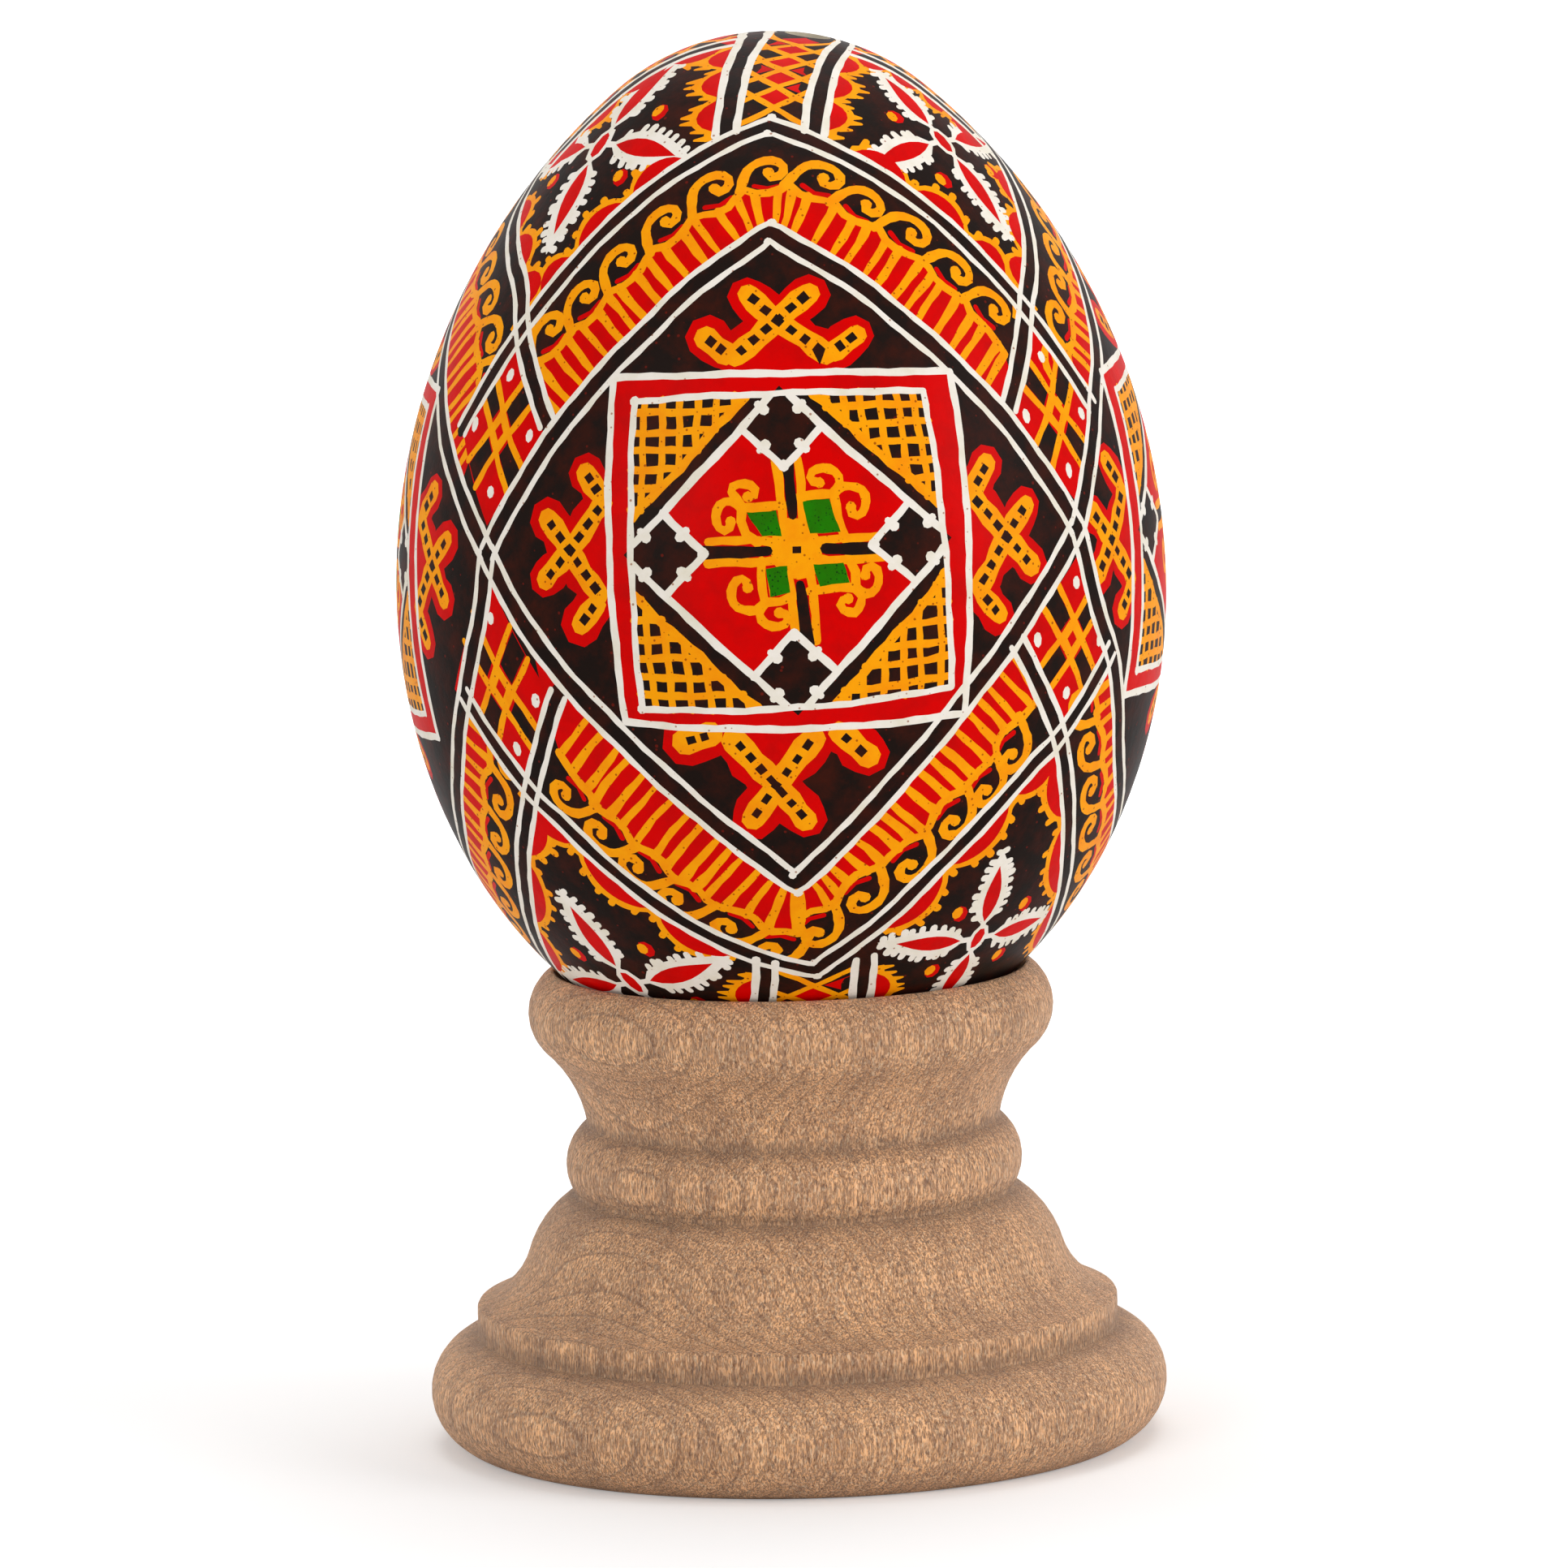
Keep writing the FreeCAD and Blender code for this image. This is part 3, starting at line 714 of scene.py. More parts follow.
def wave(art, places, outward):
    """A running wave of hooked curls. Gives back the line on which they stand."""
    base = []
    for i, (lon, v) in enumerate(places):
        a, b = places[max(i - 1, 0)], places[min(i + 1, len(places) - 1)]
        k = degree_at(v)
        way = math.degrees(math.atan2(b[1] - a[1], (b[0] - a[0]) * k))
        lay = laid_at(lon, v, way if outward > 0 else way + 180, art.dice.uniform(1.0, 1.1))
        art.line(YELLOW, lay(CURL), 0.57, TOP, step=0.38, sway=0.02)
        art.dot(YELLOW, lay([(0.03, -0.02)])[0], 0.34, layer=TOP)
        art.line(RED, lay([(-0.85, -0.85), (-0.2, -1.12), (0.6, -1.0)]), 0.3, STROKE, sway=0.0)
        foot = lay([(-1.55, -1.0), (-0.8, -1.4), (0.3, -1.4)])
        base.append(foot if outward > 0 else foot[::-1])
    base = np.vstack(base)
    ends = [base[i] + (base[i] - base[j]) * 1.7 / max(steps_along(base[[i, j]])[1], 0.1)
            for i, j in ((0, 2), (-1, -3))]
    base = np.vstack([ends[:1], base, ends[1:]])
    art.line(YELLOW, base, 0.5, TOP, sway=0.03)
    return base


def comb(art, panel, base, kind, outward):
    """Red bars parted by yellow lines, between the wave's foot and the diamond."""
    ends = [part_of(side_line(panel, side, kind), 0, 0.79, 0.3) for side in (-1, 1)]
    edge = np.vstack([ends[0][::-1], ends[1][1:]])
    foot = flow(base, 0.15, False)[0]
    art.area(RED, np.vstack([edge, foot[::-1]]), FILL, step=0.7)
    way, k = headings(edge)
    soft = np.hanning(19) / 9.0
    way = np.stack([np.convolve(np.pad(w, 9, "edge"), soft, "valid") for w in way.T], 1)
    way /= np.hypot(*way.T)[:, None]
    out = np.stack([-way[:, 1], way[:, 0]], 1) * outward
    length, reach = steps_along(edge), steps_along(foot)
    at, last = art.dice.uniform(0.3, 0.8), None
    while at < length[-1]:
        i = int(np.searchsorted(length, at))
        across = (foot - edge[i]) * (k[i], 1)
        ahead = across @ out[i]
        aside = abs(across[:, 0] * out[i, 1] - across[:, 1] * out[i, 0]) + 9 * (ahead < 0.3)
        j = int(np.argmin(aside))
        if aside[j] < 0.7 and ahead[j] < 6:
            bars = [(i, j)]
            if last and reach[j] - reach[last[1]] > 1.8:
                bars.append(((i + last[0]) // 2, (j + last[1]) // 2))
            for a, b in bars:
                bend = (edge[a] + foot[b]) / 2 + (art.dice.uniform(-0.35, 0.35), 0)
                art.line(YELLOW, [edge[a], bend, foot[b]], art.dice.uniform(0.34, 0.46), STROKE,
                         taper=(0.85, 1.35), sway=0.03)
            last = (i, j)
        at += art.dice.uniform(0.98, 1.16)


# ---------------------------------------------------------------- lozenges at the borders

def lozenge(art, border, top, left, right, low):
    """Two crossing ladders in a red lozenge, with a white oval in each corner."""
    corners = design([(border + left[0], left[1]), (border, top), (border + right[0], right[1]),
                      (border, low)])
    lay = patch(corners)
    art.area(RED, lay([(-1.06, 1.06), (1.06, 1.06), (1.06, -1.06), (-1.06, -1.06)]), TOP)
    wide, bar = 0.27, 0.1
    for swap in (False, True):
        def put(points):
            return lay([(b, a) if swap else (a, b) for a, b in points])
        for s in (-1, 1):
            art.line(YELLOW, put([(-1.05, s * wide), (0, s * wide * 0.8), (1.05, s * wide)]), 0.42,
                     TOP + 0.2, sway=0.04)
            art.area(BLACK, put([(s * 0.33, wide * 0.62), (s * 1.04, wide * 0.72),
                                 (s * 1.04, -wide * 0.72), (s * 0.33, -wide * 0.62)]),
                     TOP + 0.1, sway=0.02)
    art.area(YELLOW, lay([(-wide, wide), (wide, wide), (wide, -wide), (-wide, -wide)]), TOP + 0.2)
    art.area(RED, lay([(-bar, bar), (bar, bar), (bar, -bar), (-bar, -bar)]), TOP + 0.3, step=0.3)
    for a in (-0.66, 0.66):
        for b in (-0.66, 0.66):
            art.dot(WHITE, lay([(a, b)])[0], art.dice.uniform(0.26, 0.32),
                    art.dice.uniform(0.36, 0.46), TOP + 0.3, art.dice.uniform(-10, 10))


# ---------------------------------------------------------------- fields with plants near the poles

def leaf(art, lay, way, length, bumps):
    """A white leaf with a bumpy edge round a red almond."""
    c, s = math.cos(way * DEG), math.sin(way * DEG)

    def put(points):
        return lay([(x * c - y * s, x * s + y * c) for x, y in points])

    t = np.linspace(0, 1, 9)
    start = 0.95
    spread = 1.1 * np.sin(np.pi * t ** 0.8) ** 0.8 * (1 - 0.12 * t)
    rim = [(start + (length - start) * a, w) for a, w in zip(t, spread)]
    art.area(WHITE, put(rim + [(x, -y) for x, y in rim[-2:0:-1]]), MARK, step=0.5)
    art.line(WHITE, put([(0.5, 0), (start + 0.5, 0)]), 0.4, MARK, sway=0)
    for side in (-1, 1):
        for k in range(bumps):
            a = 0.1 + 0.9 * (k + art.dice.uniform(0.2, 0.8)) / bumps
            x = start + (length - start) * a
            y = np.interp(a, t, spread) * side
            out = art.dice.uniform(0.12, 0.3)
            tip = (x + out * 0.35, y + side * out)
            art.line(WHITE, put([(x, y * 0.7), tip]), art.dice.uniform(0.38, 0.48), MARK, sway=0)
    inside = [(start + 0.35 + (length - start) * 0.74 * a, 0.56 * math.sin(math.pi * a ** 0.85))
              for a in np.linspace(0, 1, 8)]
    art.area(RED, put(inside + [(x, -y) for x, y in inside[-2:0:-1]]), TOP, step=0.5)


def plant(art, lon, v, lean, size):
    lay = laid_at(lon, v, lean, size, 19.0)
    for k, length in enumerate((6.7, 6.5, 6.9, 7.0)):
        leaf(art, lay, 90 * k + art.dice.uniform(-4, 4), length, 9)
    art.dot(WHITE, (lon, v), 0.72 * size, 1.15 * size, MARK, lean)
    art.dot(RED, (lon, v), 0.42 * size, 0.82 * size, TOP, lean)
    for k in range(4):
        way = (45 + 90 * k + art.dice.uniform(-6, 6)) * DEG
        x, y = 3.6 * math.cos(way), 3.1 * math.sin(way)
        art.dot(RED, lay([(x + 0.22, y - 0.1)])[0], 0.5, 0.6, MARK, 20)
        art.dot(YELLOW, lay([(x, y)])[0], 0.34, 0.42, TOP)


# The yellow edge of half moons: gap between strokes, their reach, width and taper.
TEETH = (0.6, (0.3, 0.6), 0.4, (1.3, 0.5))
STUBS = (1.15, (0.1, 0.3), 0.42, (1.0, 1.1))


def half_moons(art, path, spans, side, edging, high=1.1):
    """Red half moons along a line, with an uneven yellow edge."""
    gap, reach, width, taper = edging
    p = flow(path, 0.3)[0]
    total = steps_along(p)[-1]
    at = np.linspace(0, 1, max(24, int(total / 0.3)))
    line = part_of(p, 0, 1, total / (len(at) - 1))[:len(at)]
    at = np.linspace(0, 1, len(line))
    rise = np.zeros(len(at))
    for start, end in spans:
        x = np.clip((at - start) / (end - start), 0, 1)
        rise = np.maximum(rise, high * np.sin(np.pi * x) ** 0.7)
    crest = rise + 0.42 + 0.05 * np.sin(at * total * 3.0)
    rim = beside(line, side * crest)
    art.area(YELLOW, np.vstack([line, rim[::-1]]), STROKE, step=0.8)
    for start, end in spans:
        n = max(7, int((end - start) * total / 0.35))
        t = np.linspace(start, end, n)
        foot = np.stack([np.interp(t, at, line[:, 0]), np.interp(t, at, line[:, 1])], 1)
        bulge = np.sin(np.pi * (t - start) / (end - start)).clip(0) ** 0.7
        arc = beside(foot, side * high * bulge)
        art.area(RED, np.vstack([foot, arc[-2:0:-1]]), MARK, step=0.6)
    for k in range(int(total / gap)):
        t = (k + 0.5 + art.dice.uniform(-0.15, 0.15)) * gap / total
        root = np.array([np.interp(t, at, rim[:, 0]), np.interp(t, at, rim[:, 1])])
        low = np.array([np.interp(t, at, line[:, 0]), np.interp(t, at, line[:, 1])])
        k_here = degree_at(root[1])
        d = (root - low) * (k_here, 1)
        d = d / max(np.hypot(*d), 1e-6)
        tip = root + d * art.dice.uniform(*reach) / (k_here, 1)
        back = root - d * 0.25 / (k_here, 1)
        art.line(YELLOW, [back, tip], width, STROKE, sway=0, taper=taper)


BAND_EDGE = 3.05                 # half width of the upper pole band, and of its lattice, in mm
BAND_LINE = 1.88
LOW_EDGE = 3.3                   # the same for the lower one
LOW_LINE = 2.25


def along_pole(mid, across, arcs):
    """Chart places at a set distance in millimetres beside a meridian."""
    arcs = np.asarray(arcs, float)
    share = np.clip(across / np.maximum(radius_at(arcs), 1e-3), -1, 1)
    return np.stack([mid + np.degrees(np.arcsin(share)), arcs], 1)


def band_end(panel, across, upper):
    """Bands of the front and back run on over the pole; those of the sides stop at them."""
    stop = across if panel % 2 == 0 else math.hypot(across, BAND_EDGE + 0.2)
    return arc_of_radius(max(stop, HOLE_RADIUS + 0.02), upper)


# Half moons along a roof or keel: how far they stand off it, where the row starts, the arc that
# the stops count to, the row's end, and the start and end of each moon in turn.
ROOF_MOONS = ("roof", 0.55, 0.19, 0.82, 0.75, (0.2, 0.36, 0.385, 0.55, 0.575, 0.70))
KEEL_MOONS = ("keel", -0.55, 0.17, 0.76, 0.76, (0.18, 0.36, 0.385, 0.57, 0.595, 0.74))
# Half moons along a pole band: its half width, shift and start; the first moon's start, the
# pitch, the first one's end, how many; the side they bulge to and their height.
UPPER_MOONS = (BAND_EDGE + 0.2, 0.6, 1.2, 0.06, 0.235, 0.27, 4, -1, 1.0)
LOWER_MOONS = (LOW_EDGE + 0.2, 0.0, 0.0, 0.04, 0.19, 0.22, 5, 1, 0.9)


def field(art, border, upper):
    """The field between two roofs or two keels, with its plant, under a pole."""
    plant(art, *PLANTS[border][0 if upper else 1])
    kind, off, start, whole, end, stops = ROOF_MOONS if upper else KEEL_MOONS
    band = UPPER_MOONS if upper else LOWER_MOONS
    across, shift, back, first, pitch, last, count, turn, high = band
    for panel, side in (((border - 1) // 2, 1), ((border + 1) // 2 % 4, -1)):
        line = side_line(panel, side, kind)
        spans = [(a - start) / (whole - start) for a in stops]
        half_moons(art, part_of(beside(line, side * off), start, end),
                   list(zip(spans[::2], spans[1::2])), -side * turn, STUBS)
        mid, low = line[0]
        arcs = np.linspace(low - back, band_end(panel, across * 1.02, upper), 16)
        spans = [(first + pitch * k, last + pitch * k) for k in range(count)]
        edge = along_pole(mid + shift, side * across, arcs)
        half_moons(art, edge, spans, side * turn, TEETH, high)


def pole_band(art, panel, upper, edge, line, pitch):
    """The band from a roof or keel to the pole: white lines beside a lattice."""
    mid, start = side_line(panel, 1, "roof" if upper else "keel")[0]
    mid, way = (mid + 0.6, 1) if upper else (mid, -1)
    stop = [along_pole(mid, side * edge, np.linspace(start, band_end(panel, edge, upper), 24))
            for side in (-1, 1)]
    pole = HIGHEST if upper else LOWEST
    ring = [(mid - 89, pole), (mid + 89, pole)] if panel % 2 == 0 else []
    art.area(BLACK, np.vstack([stop[0]] + ([ring] if ring else []) + [stop[1][::-1]]), TOP)
    for side in (-1, 1):
        for off in (edge, line):
            arcs = np.linspace(start - way * off * 0.28, band_end(panel, off, upper), 40)
            art.line(WHITE, along_pole(mid, side * off, arcs), 0.44, WAX, sway=0.03)
    last = arc_of_radius(2.3 if panel % 2 == 0 else BAND_EDGE + 1.4, upper)
    for k in range(int(abs(last - start) / pitch)):
        v = start + way * (k + 0.75) * pitch

        def put(points):
            x, y = np.array(points, float).T
            arcs = v + way * y * pitch
            share = np.clip(x * line / radius_at(arcs), -1, 1)
            return np.stack([mid + np.degrees(np.arcsin(share)), arcs], 1)

        art.area(RED, put([(0, -0.02), (0.56, 0.5), (0, 1.02), (-0.56, 0.5)]), TOP + 0.1, step=0.4)
        for side in (-1, 1):
            if art.dice.random() < 0.35:
                art.area(RED, put([(side, -0.45), (side * 0.25, 0), (side, 0.45)]), TOP + 0.1)
            art.dot(BLACK, put([(side * 0.84, 0)])[0], 0.4, 0.36 * pitch, TOP + 0.2)
            art.line(YELLOW, put([(side * 0.98, -0.75), (0, 0.03), (-side * 0.98, 0.81)]), 0.38,
                     TOP + 0.3, curved=False, sway=0.04)


def draw_pattern():
    art = Drawing()
    for panel in range(4):
        art.dice = random.Random(40 + panel)
        frame_lines(art, panel)
        square_panel(art, panel)
        up = wave(art, curl_places(panel, "roof", CURLS_UP, -2.55), 1)
        comb(art, panel, up, "arm_up", 1)
        down = wave(art, curl_places(panel, "keel", CURLS_DOWN, 2.1), -1)
        comb(art, panel, down, "arm_down", -1)
        pole_band(art, panel, True, BAND_EDGE, BAND_LINE, 1.7)
        pole_band(art, panel, False, LOW_EDGE, LOW_LINE, 1.9)
        border = 2 * panel + 1
        meet = NODES[border]
        lozenge(art, border, meet["roof"] - 1.3, (-0.225, 11.1), (0.22, 11.0), meet["arm"] + 1.8)
        lozenge(art, border, meet["arm"] - 1.6, (-0.25, meet["keel"] + 5.7),
                (0.2, meet["keel"] + 5.3), meet["keel"] + 1.2)
        field(art, border, True)
        field(art, border, False)
    return art


# ---------------------------------------------------------------- node helpers

def node(tree, kind, place=(0, 0), **values):
    made = tree.nodes.new(kind)
    made.location = place
    for key, value in values.items():
        if hasattr(made, key):
            setattr(made, key, value)
        else:
            made.inputs[key].default_value = value
    return made


def link(tree, pairs):
    for out, into in pairs:
        tree.links.new(out, into)


def maths(tree, operation, place, second=None, **values):
    """A math node, with its second input set where a value is given."""
    made = node(tree, "ShaderNodeMath", place, operation=operation, **values)
    if second is not None:
        made.inputs[1].default_value = second
    return made


def in_scene(name, data):
    """A new object in the scene, at the origin."""
    made = bpy.data.objects.new(name, data)
    bpy.context.scene.collection.objects.link(made)
    return made


def group_with(name, inputs, outputs):
    tree = bpy.data.node_groups.new(name, "ShaderNodeTree")
    for label, kind, value in inputs:
        socket = tree.interface.new_socket(label, in_out="INPUT", socket_type=kind)
        if value is not None:
            socket.default_value = value
    for label, kind in outputs:
        tree.interface.new_socket(label, in_out="OUTPUT", socket_type=kind)
    return tree, node(tree, "NodeGroupInput", (-900, 0)), node(tree, "NodeGroupOutput", (700, 0))


def plain_material(name, roughness, colour=(0.8, 0.8, 0.8)):
    material = bpy.data.materials.new(name)
    material.use_nodes = True
    tree = material.node_tree
    shader = tree.nodes["Principled BSDF"]
    shader.inputs["Roughness"].default_value = roughness
    shader.inputs["Base Color"].default_value = (*colour, 1)
    material.diffuse_color = (*colour, 1)
    return material, tree, shader


def real_millimetres(tree, place=(-1100, 0)):
    """Object coordinates in millimetres."""
    where = node(tree, "ShaderNodeTexCoord", (place[0] - 200, place[1]))
    scale = node(tree, "ShaderNodeMapping", place, Scale=(1000, 1000, 1000))
    link(tree, [(where.outputs["Object"], scale.inputs["Vector"])])
    return scale.outputs["Vector"]


def ramp(tree, source, stops, place=(0, 0)):
    made = node(tree, "ShaderNodeValToRGB", place)
    points = made.color_ramp.elements
    while len(points) < len(stops):
        points.new(0.5)
    for point, (at, value) in zip(points, stops):
        point.position = at
        point.color = (*value, 1) if isinstance(value, tuple) else (value, value, value, 1)
    link(tree, [(source, made.inputs[0])])
    return made.outputs[0]


# ---------------------------------------------------------------- shell: surface shared by all dyes

def shell_surface():
    """Pores, small waves and specks of an eggshell under dye."""
    tree, come, go = group_with(
        "eggshell_surface",
        [("Vector", "NodeSocketVector", None), ("Speck Spacing", "NodeSocketFloat", 1.4),
         ("Speck Size", "NodeSocketFloat", 0.09), ("Pore Depth", "NodeSocketFloat", 1.0)],
        [(label, "NodeSocketFloat") for label in ("Specks", "Cloud", "Height")])
    dots = node(tree, "ShaderNodeTexVoronoi", (-600, 200))
    link(tree, [(come.outputs["Vector"], dots.inputs["Vector"]),
                (come.outputs["Speck Spacing"], dots.inputs["Scale"])])
    split = node(tree, "ShaderNodeSeparateColor", (-420, 60))
    size = maths(tree, "MULTIPLY", (-250, 60))
    near = maths(tree, "SUBTRACT", (-80, 200))
    soft = maths(tree, "MULTIPLY", (80, 200), 14.0, use_clamp=True)
    link(tree, [(dots.outputs["Color"], split.inputs[0]), (split.outputs[0], size.inputs[0]),
                (come.outputs["Speck Size"], size.inputs[1]), (size.outputs[0], near.inputs[0]),
                (dots.outputs["Distance"], near.inputs[1]), (near.outputs[0], soft.inputs[0]),
                (soft.outputs[0], go.inputs["Specks"])])
    cloud = node(tree, "ShaderNodeTexNoise", (-600, -100), Scale=0.55, Detail=5.0, Roughness=0.62)
    link(tree, [(come.outputs["Vector"], cloud.inputs["Vector"]),
                (cloud.outputs["Fac"], go.inputs["Cloud"])])
    pores = node(tree, "ShaderNodeTexVoronoi", (-600, -350), Scale=2.1)
    pits = ramp(tree, pores.outputs["Distance"], [(0.0, 0.0), (0.16, 1.0)], (-380, -350))
    waves = node(tree, "ShaderNodeTexNoise", (-600, -600), Scale=1.3, Detail=3.0, Roughness=0.55)
    fine = node(tree, "ShaderNodeTexNoise", (-600, -800), Scale=7.0, Detail=2.0)
    a = maths(tree, "MULTIPLY_ADD", (-150, -450), 0.25)
    b = maths(tree, "MULTIPLY_ADD", (20, -550), 0.12)
    deep = maths(tree, "MULTIPLY", (200, -500))
    link(tree, [(come.outputs["Vector"], pores.inputs["Vector"]),
                (come.outputs["Vector"], waves.inputs["Vector"]),
                (come.outputs["Vector"], fine.inputs["Vector"]), (pits, a.inputs[0]),
                (waves.outputs["Fac"], a.inputs[2]), (fine.outputs["Fac"], b.inputs[0]),
                (a.outputs[0], b.inputs[2]), (b.outputs[0], deep.inputs[0]),
                (come.outputs["Pore Depth"], deep.inputs[1]),
                (deep.outputs[0], go.inputs["Height"])])
    return tree


def dye_material(surface, name, colour, shade, speck, spacing, size, amount, roughness=0.4):
    """One dye: its colour clouded towards a shade, with specks, under a thin varnish."""
    material, tree, shader = plain_material(name, roughness, colour)
    shader.inputs["Specular IOR Level"].default_value = 0.035
    where = real_millimetres(tree)
    skin = node(tree, "ShaderNodeGroup", (-700, 0), node_tree=surface,
                **{"Speck Spacing": spacing, "Speck Size": size})
    cloud = ramp(tree, skin.outputs["Cloud"], [(0.42, 0.0), (0.72, 1.0)], (-500, 200))
    tint = node(tree, "ShaderNodeMix", (-250, 150), data_type="RGBA", A=(*colour, 1),
                B=(*shade, 1))
    fleck = maths(tree, "MULTIPLY", (-250, -80), amount)
    dotted = node(tree, "ShaderNodeMix", (-60, 100), data_type="RGBA", B=(*speck, 1))
    bump = node(tree, "ShaderNodeBump", (-250, -300), Strength=0.35, Distance=0.00006)
    link(tree, [(where, skin.inputs["Vector"]), (cloud, tint.inputs["Factor"]),
                (skin.outputs["Specks"], fleck.inputs[0]),
                (fleck.outputs[0], dotted.inputs["Factor"]),
                (tint.outputs["Result"], dotted.inputs["A"]),
                (dotted.outputs["Result"], shader.inputs["Base Color"]),
                (skin.outputs["Height"], bump.inputs["Height"]),
                (bump.outputs["Normal"], shader.inputs["Normal"])])
    return material


# Colour, shade, specks, then the specks' spacing, size and strength, in the order of the dyes.
DYES = (
    ("dye_black", (0.012, 0.0065, 0.005), (0.045, 0.008, 0.004), (0.17, 0.012, 0.006),
     1.7, 0.20, 0.65),
    ("dye_red", (0.68, 0.0, 0.0), (0.54, 0.001, 0.001), (0.30, 0.0, 0.0), 2.4, 0.12, 0.5),
    ("dye_yellow", (0.98, 0.36, 0.002), (0.93, 0.27, 0.002), (0.40, 0.08, 0.002), 3.0, 0.27, 0.95),
    ("wax_white", (0.88, 0.82, 0.74), (0.78, 0.72, 0.58), (0.34, 0.13, 0.05), 2.2, 0.2, 0.85),
    ("dye_green", (0.014, 0.19, 0.001), (0.02, 0.12, 0.001), (0.006, 0.03, 0.004),
     6.5, 0.42, 0.9),
    ("bare_shell", (0.74, 0.66, 0.52), (0.6, 0.5, 0.36), (0.4, 0.25, 0.12), 2.0, 0.1, 0.4, 0.6),
)


def shell_materials():
    surface = shell_surface()
    return [dye_material(surface, *dye) for dye in DYES]


# ---------------------------------------------------------------- shell: mesh

def lining(low_lons, high_lons, rungs):
    """Triangles of the shell's inside, with edge points to match those of the outside."""
    wide = 180.0
    places = [(lon, LOWEST) for lon in low_lons] + [(lon, HIGHEST) for lon in high_lons]
    for row, v in enumerate(rungs[1:-1]):
        count = max(16, int(TURN * float(radius_at(v)) / LINING_SPACING))
        places += [(-wide, v), (wide, v)]
        places += [((k + 0.5) / count * 360 - wide, v) for k in range(count)]
    found = delaunay_2d_cdt([Vector((x * GIRTH, y)) for x, y in places], [], [], 0, 1e-5, False)
    return np.array([tuple(p) for p in found[0]]) / (GIRTH, 1), np.array(found[2])


def joined(chart, limit=180.0):
    """For each chart point the index of the point that it is one with, across the seam."""
    same = np.arange(len(chart))
    left = np.nonzero(abs(chart[:, 0] + limit) < 1e-5)[0]
    right = np.nonzero(abs(chart[:, 0] - limit) < 1e-5)[0]
    left = left[np.argsort(chart[left, 1])]
    right = right[np.argsort(chart[right, 1])]
    if len(left) != len(right) or abs(chart[left, 1] - chart[right, 1]).max() > 2e-3:
        raise RuntimeError("the chart's two edges don't match")
    same[right] = left
    return same


def ring_of(chart, v):
    """Indices of the points on one edge of the chart, from left to right."""
    found = np.nonzero(abs(chart[:, 1] - v) < 1e-4)[0]
    return found[np.argsort(chart[found, 0])]


def make_shell():
    """The dyed shell as one closed wall, open only at its two blow holes."""
    spots, faces, dyes = draw_pattern().cut_out()
    outer = spots / (GIRTH, 1)
    low, high = ring_of(outer, LOWEST), ring_of(outer, HIGHEST)
    rungs = np.linspace(LOWEST, HIGHEST, LINING_ROWS)
    inner, lines = lining(outer[low, 0], outer[high, 0], rungs)
    in_low, in_high = ring_of(inner, LOWEST), ring_of(inner, HIGHEST)
    size = len(outer)
    place_out, way_out = on_egg(outer[:, 0], outer[:, 1], SKIN_OF_VARNISH)
    place_in, way_in = on_egg(inner[:, 0], inner[:, 1], SHELL_WALL)
    same = np.concatenate([joined(outer), size + joined(inner)])
    walls = []
    for rim, inside, flip in ((low, in_low, False), (high, in_high, True)):
        for a, b, c, d in zip(rim, rim[1:], inside[1:], inside):
            quad = [b, a, d + size, c + size]
            walls.append(quad[::-1] if flip else quad)
    polygons = [list(f) for f in faces] + [list(f[::-1] + size) for f in lines] + walls
    slots = list(dyes) + [BARE] * (len(lines) + len(walls))
    chart = np.vstack([outer, inner])
    u = (chart[:, 0] + 180) / 360
    share = (chart[:, 1] - LOWEST) / (HIGHEST - LOWEST)
    v = np.where(np.arange(len(chart)) < size, 0.035 + 0.96 * share, 0.004 + 0.02 * share)
    uv, normals = [], []
    ways = np.vstack([way_out, -way_in])
    points = np.vstack([place_out, place_in]) * MM
    for i, polygon in enumerate(polygons):
        wall = i >= len(faces) + len(lines)
        for corner in polygon:
            height = (0.027 if corner < size else 0.031) if wall else v[corner]
            uv.append((u[corner], height))
        if wall:
            a, b, c = (Vector(points[polygon[k]]) for k in range(3))
            flat = (b - a).cross(c - a).normalized()
            normals.extend([flat] * len(polygon))
        else:
            normals.extend(Vector(ways[corner]) for corner in polygon)
    keep, index = np.unique(same, return_inverse=True)
    polygons = [[int(index[corner]) for corner in polygon] for polygon in polygons]
    mesh = bpy.data.meshes.new("dyed_shell")
    mesh.from_pydata(points[keep].tolist(), [], polygons)
    layer = mesh.uv_layers.new(name="OFBake")
    layer.data.foreach_set("uv", np.array(uv, float).ravel())
    for material in shell_materials():
        mesh.materials.append(material)
    mesh.polygons.foreach_set("material_index", np.array(slots, dtype=np.int32))
    mesh.polygons.foreach_set("use_smooth", np.ones(len(polygons), dtype=bool))
    mesh.update()
    mesh.normals_split_custom_set([tuple(n) for n in normals])
    return in_scene("dyed_shell", mesh)


# ---------------------------------------------------------------- stand: a turned outline

UNDERSIDE, FOOT, GROOVE, STEP = (18.91, 0.0), (21.11, 3.1), (18.36, 6.35), (18.36, 8.05)
OGEE, CREASE, NECK = (15.31, 11.05), (12.56, 14.45), (11.81, 18.45)
RIM, LIP, CUP_FLOOR = (15.01, 24.85), (13.56, 27.35), (0.0, 19.75)
HOLLOW_ARC, BEAD_ARC, FLARE_ARC, RIM_ARC = 4.5, 2.9, 7.5, 2.9
# Painted shade: the wood's colour is darkened round these heights (mm) of the stand's groove and
# creases. It fades out over the spread given below.
CREASE_SHADE_HEIGHTS = (6.6, 14.45, 18.45)
CREASE_SHADE_SPREAD = 0.55
RING_SPACING = 0.9
GRAIN_TURN = 134                 # degrees


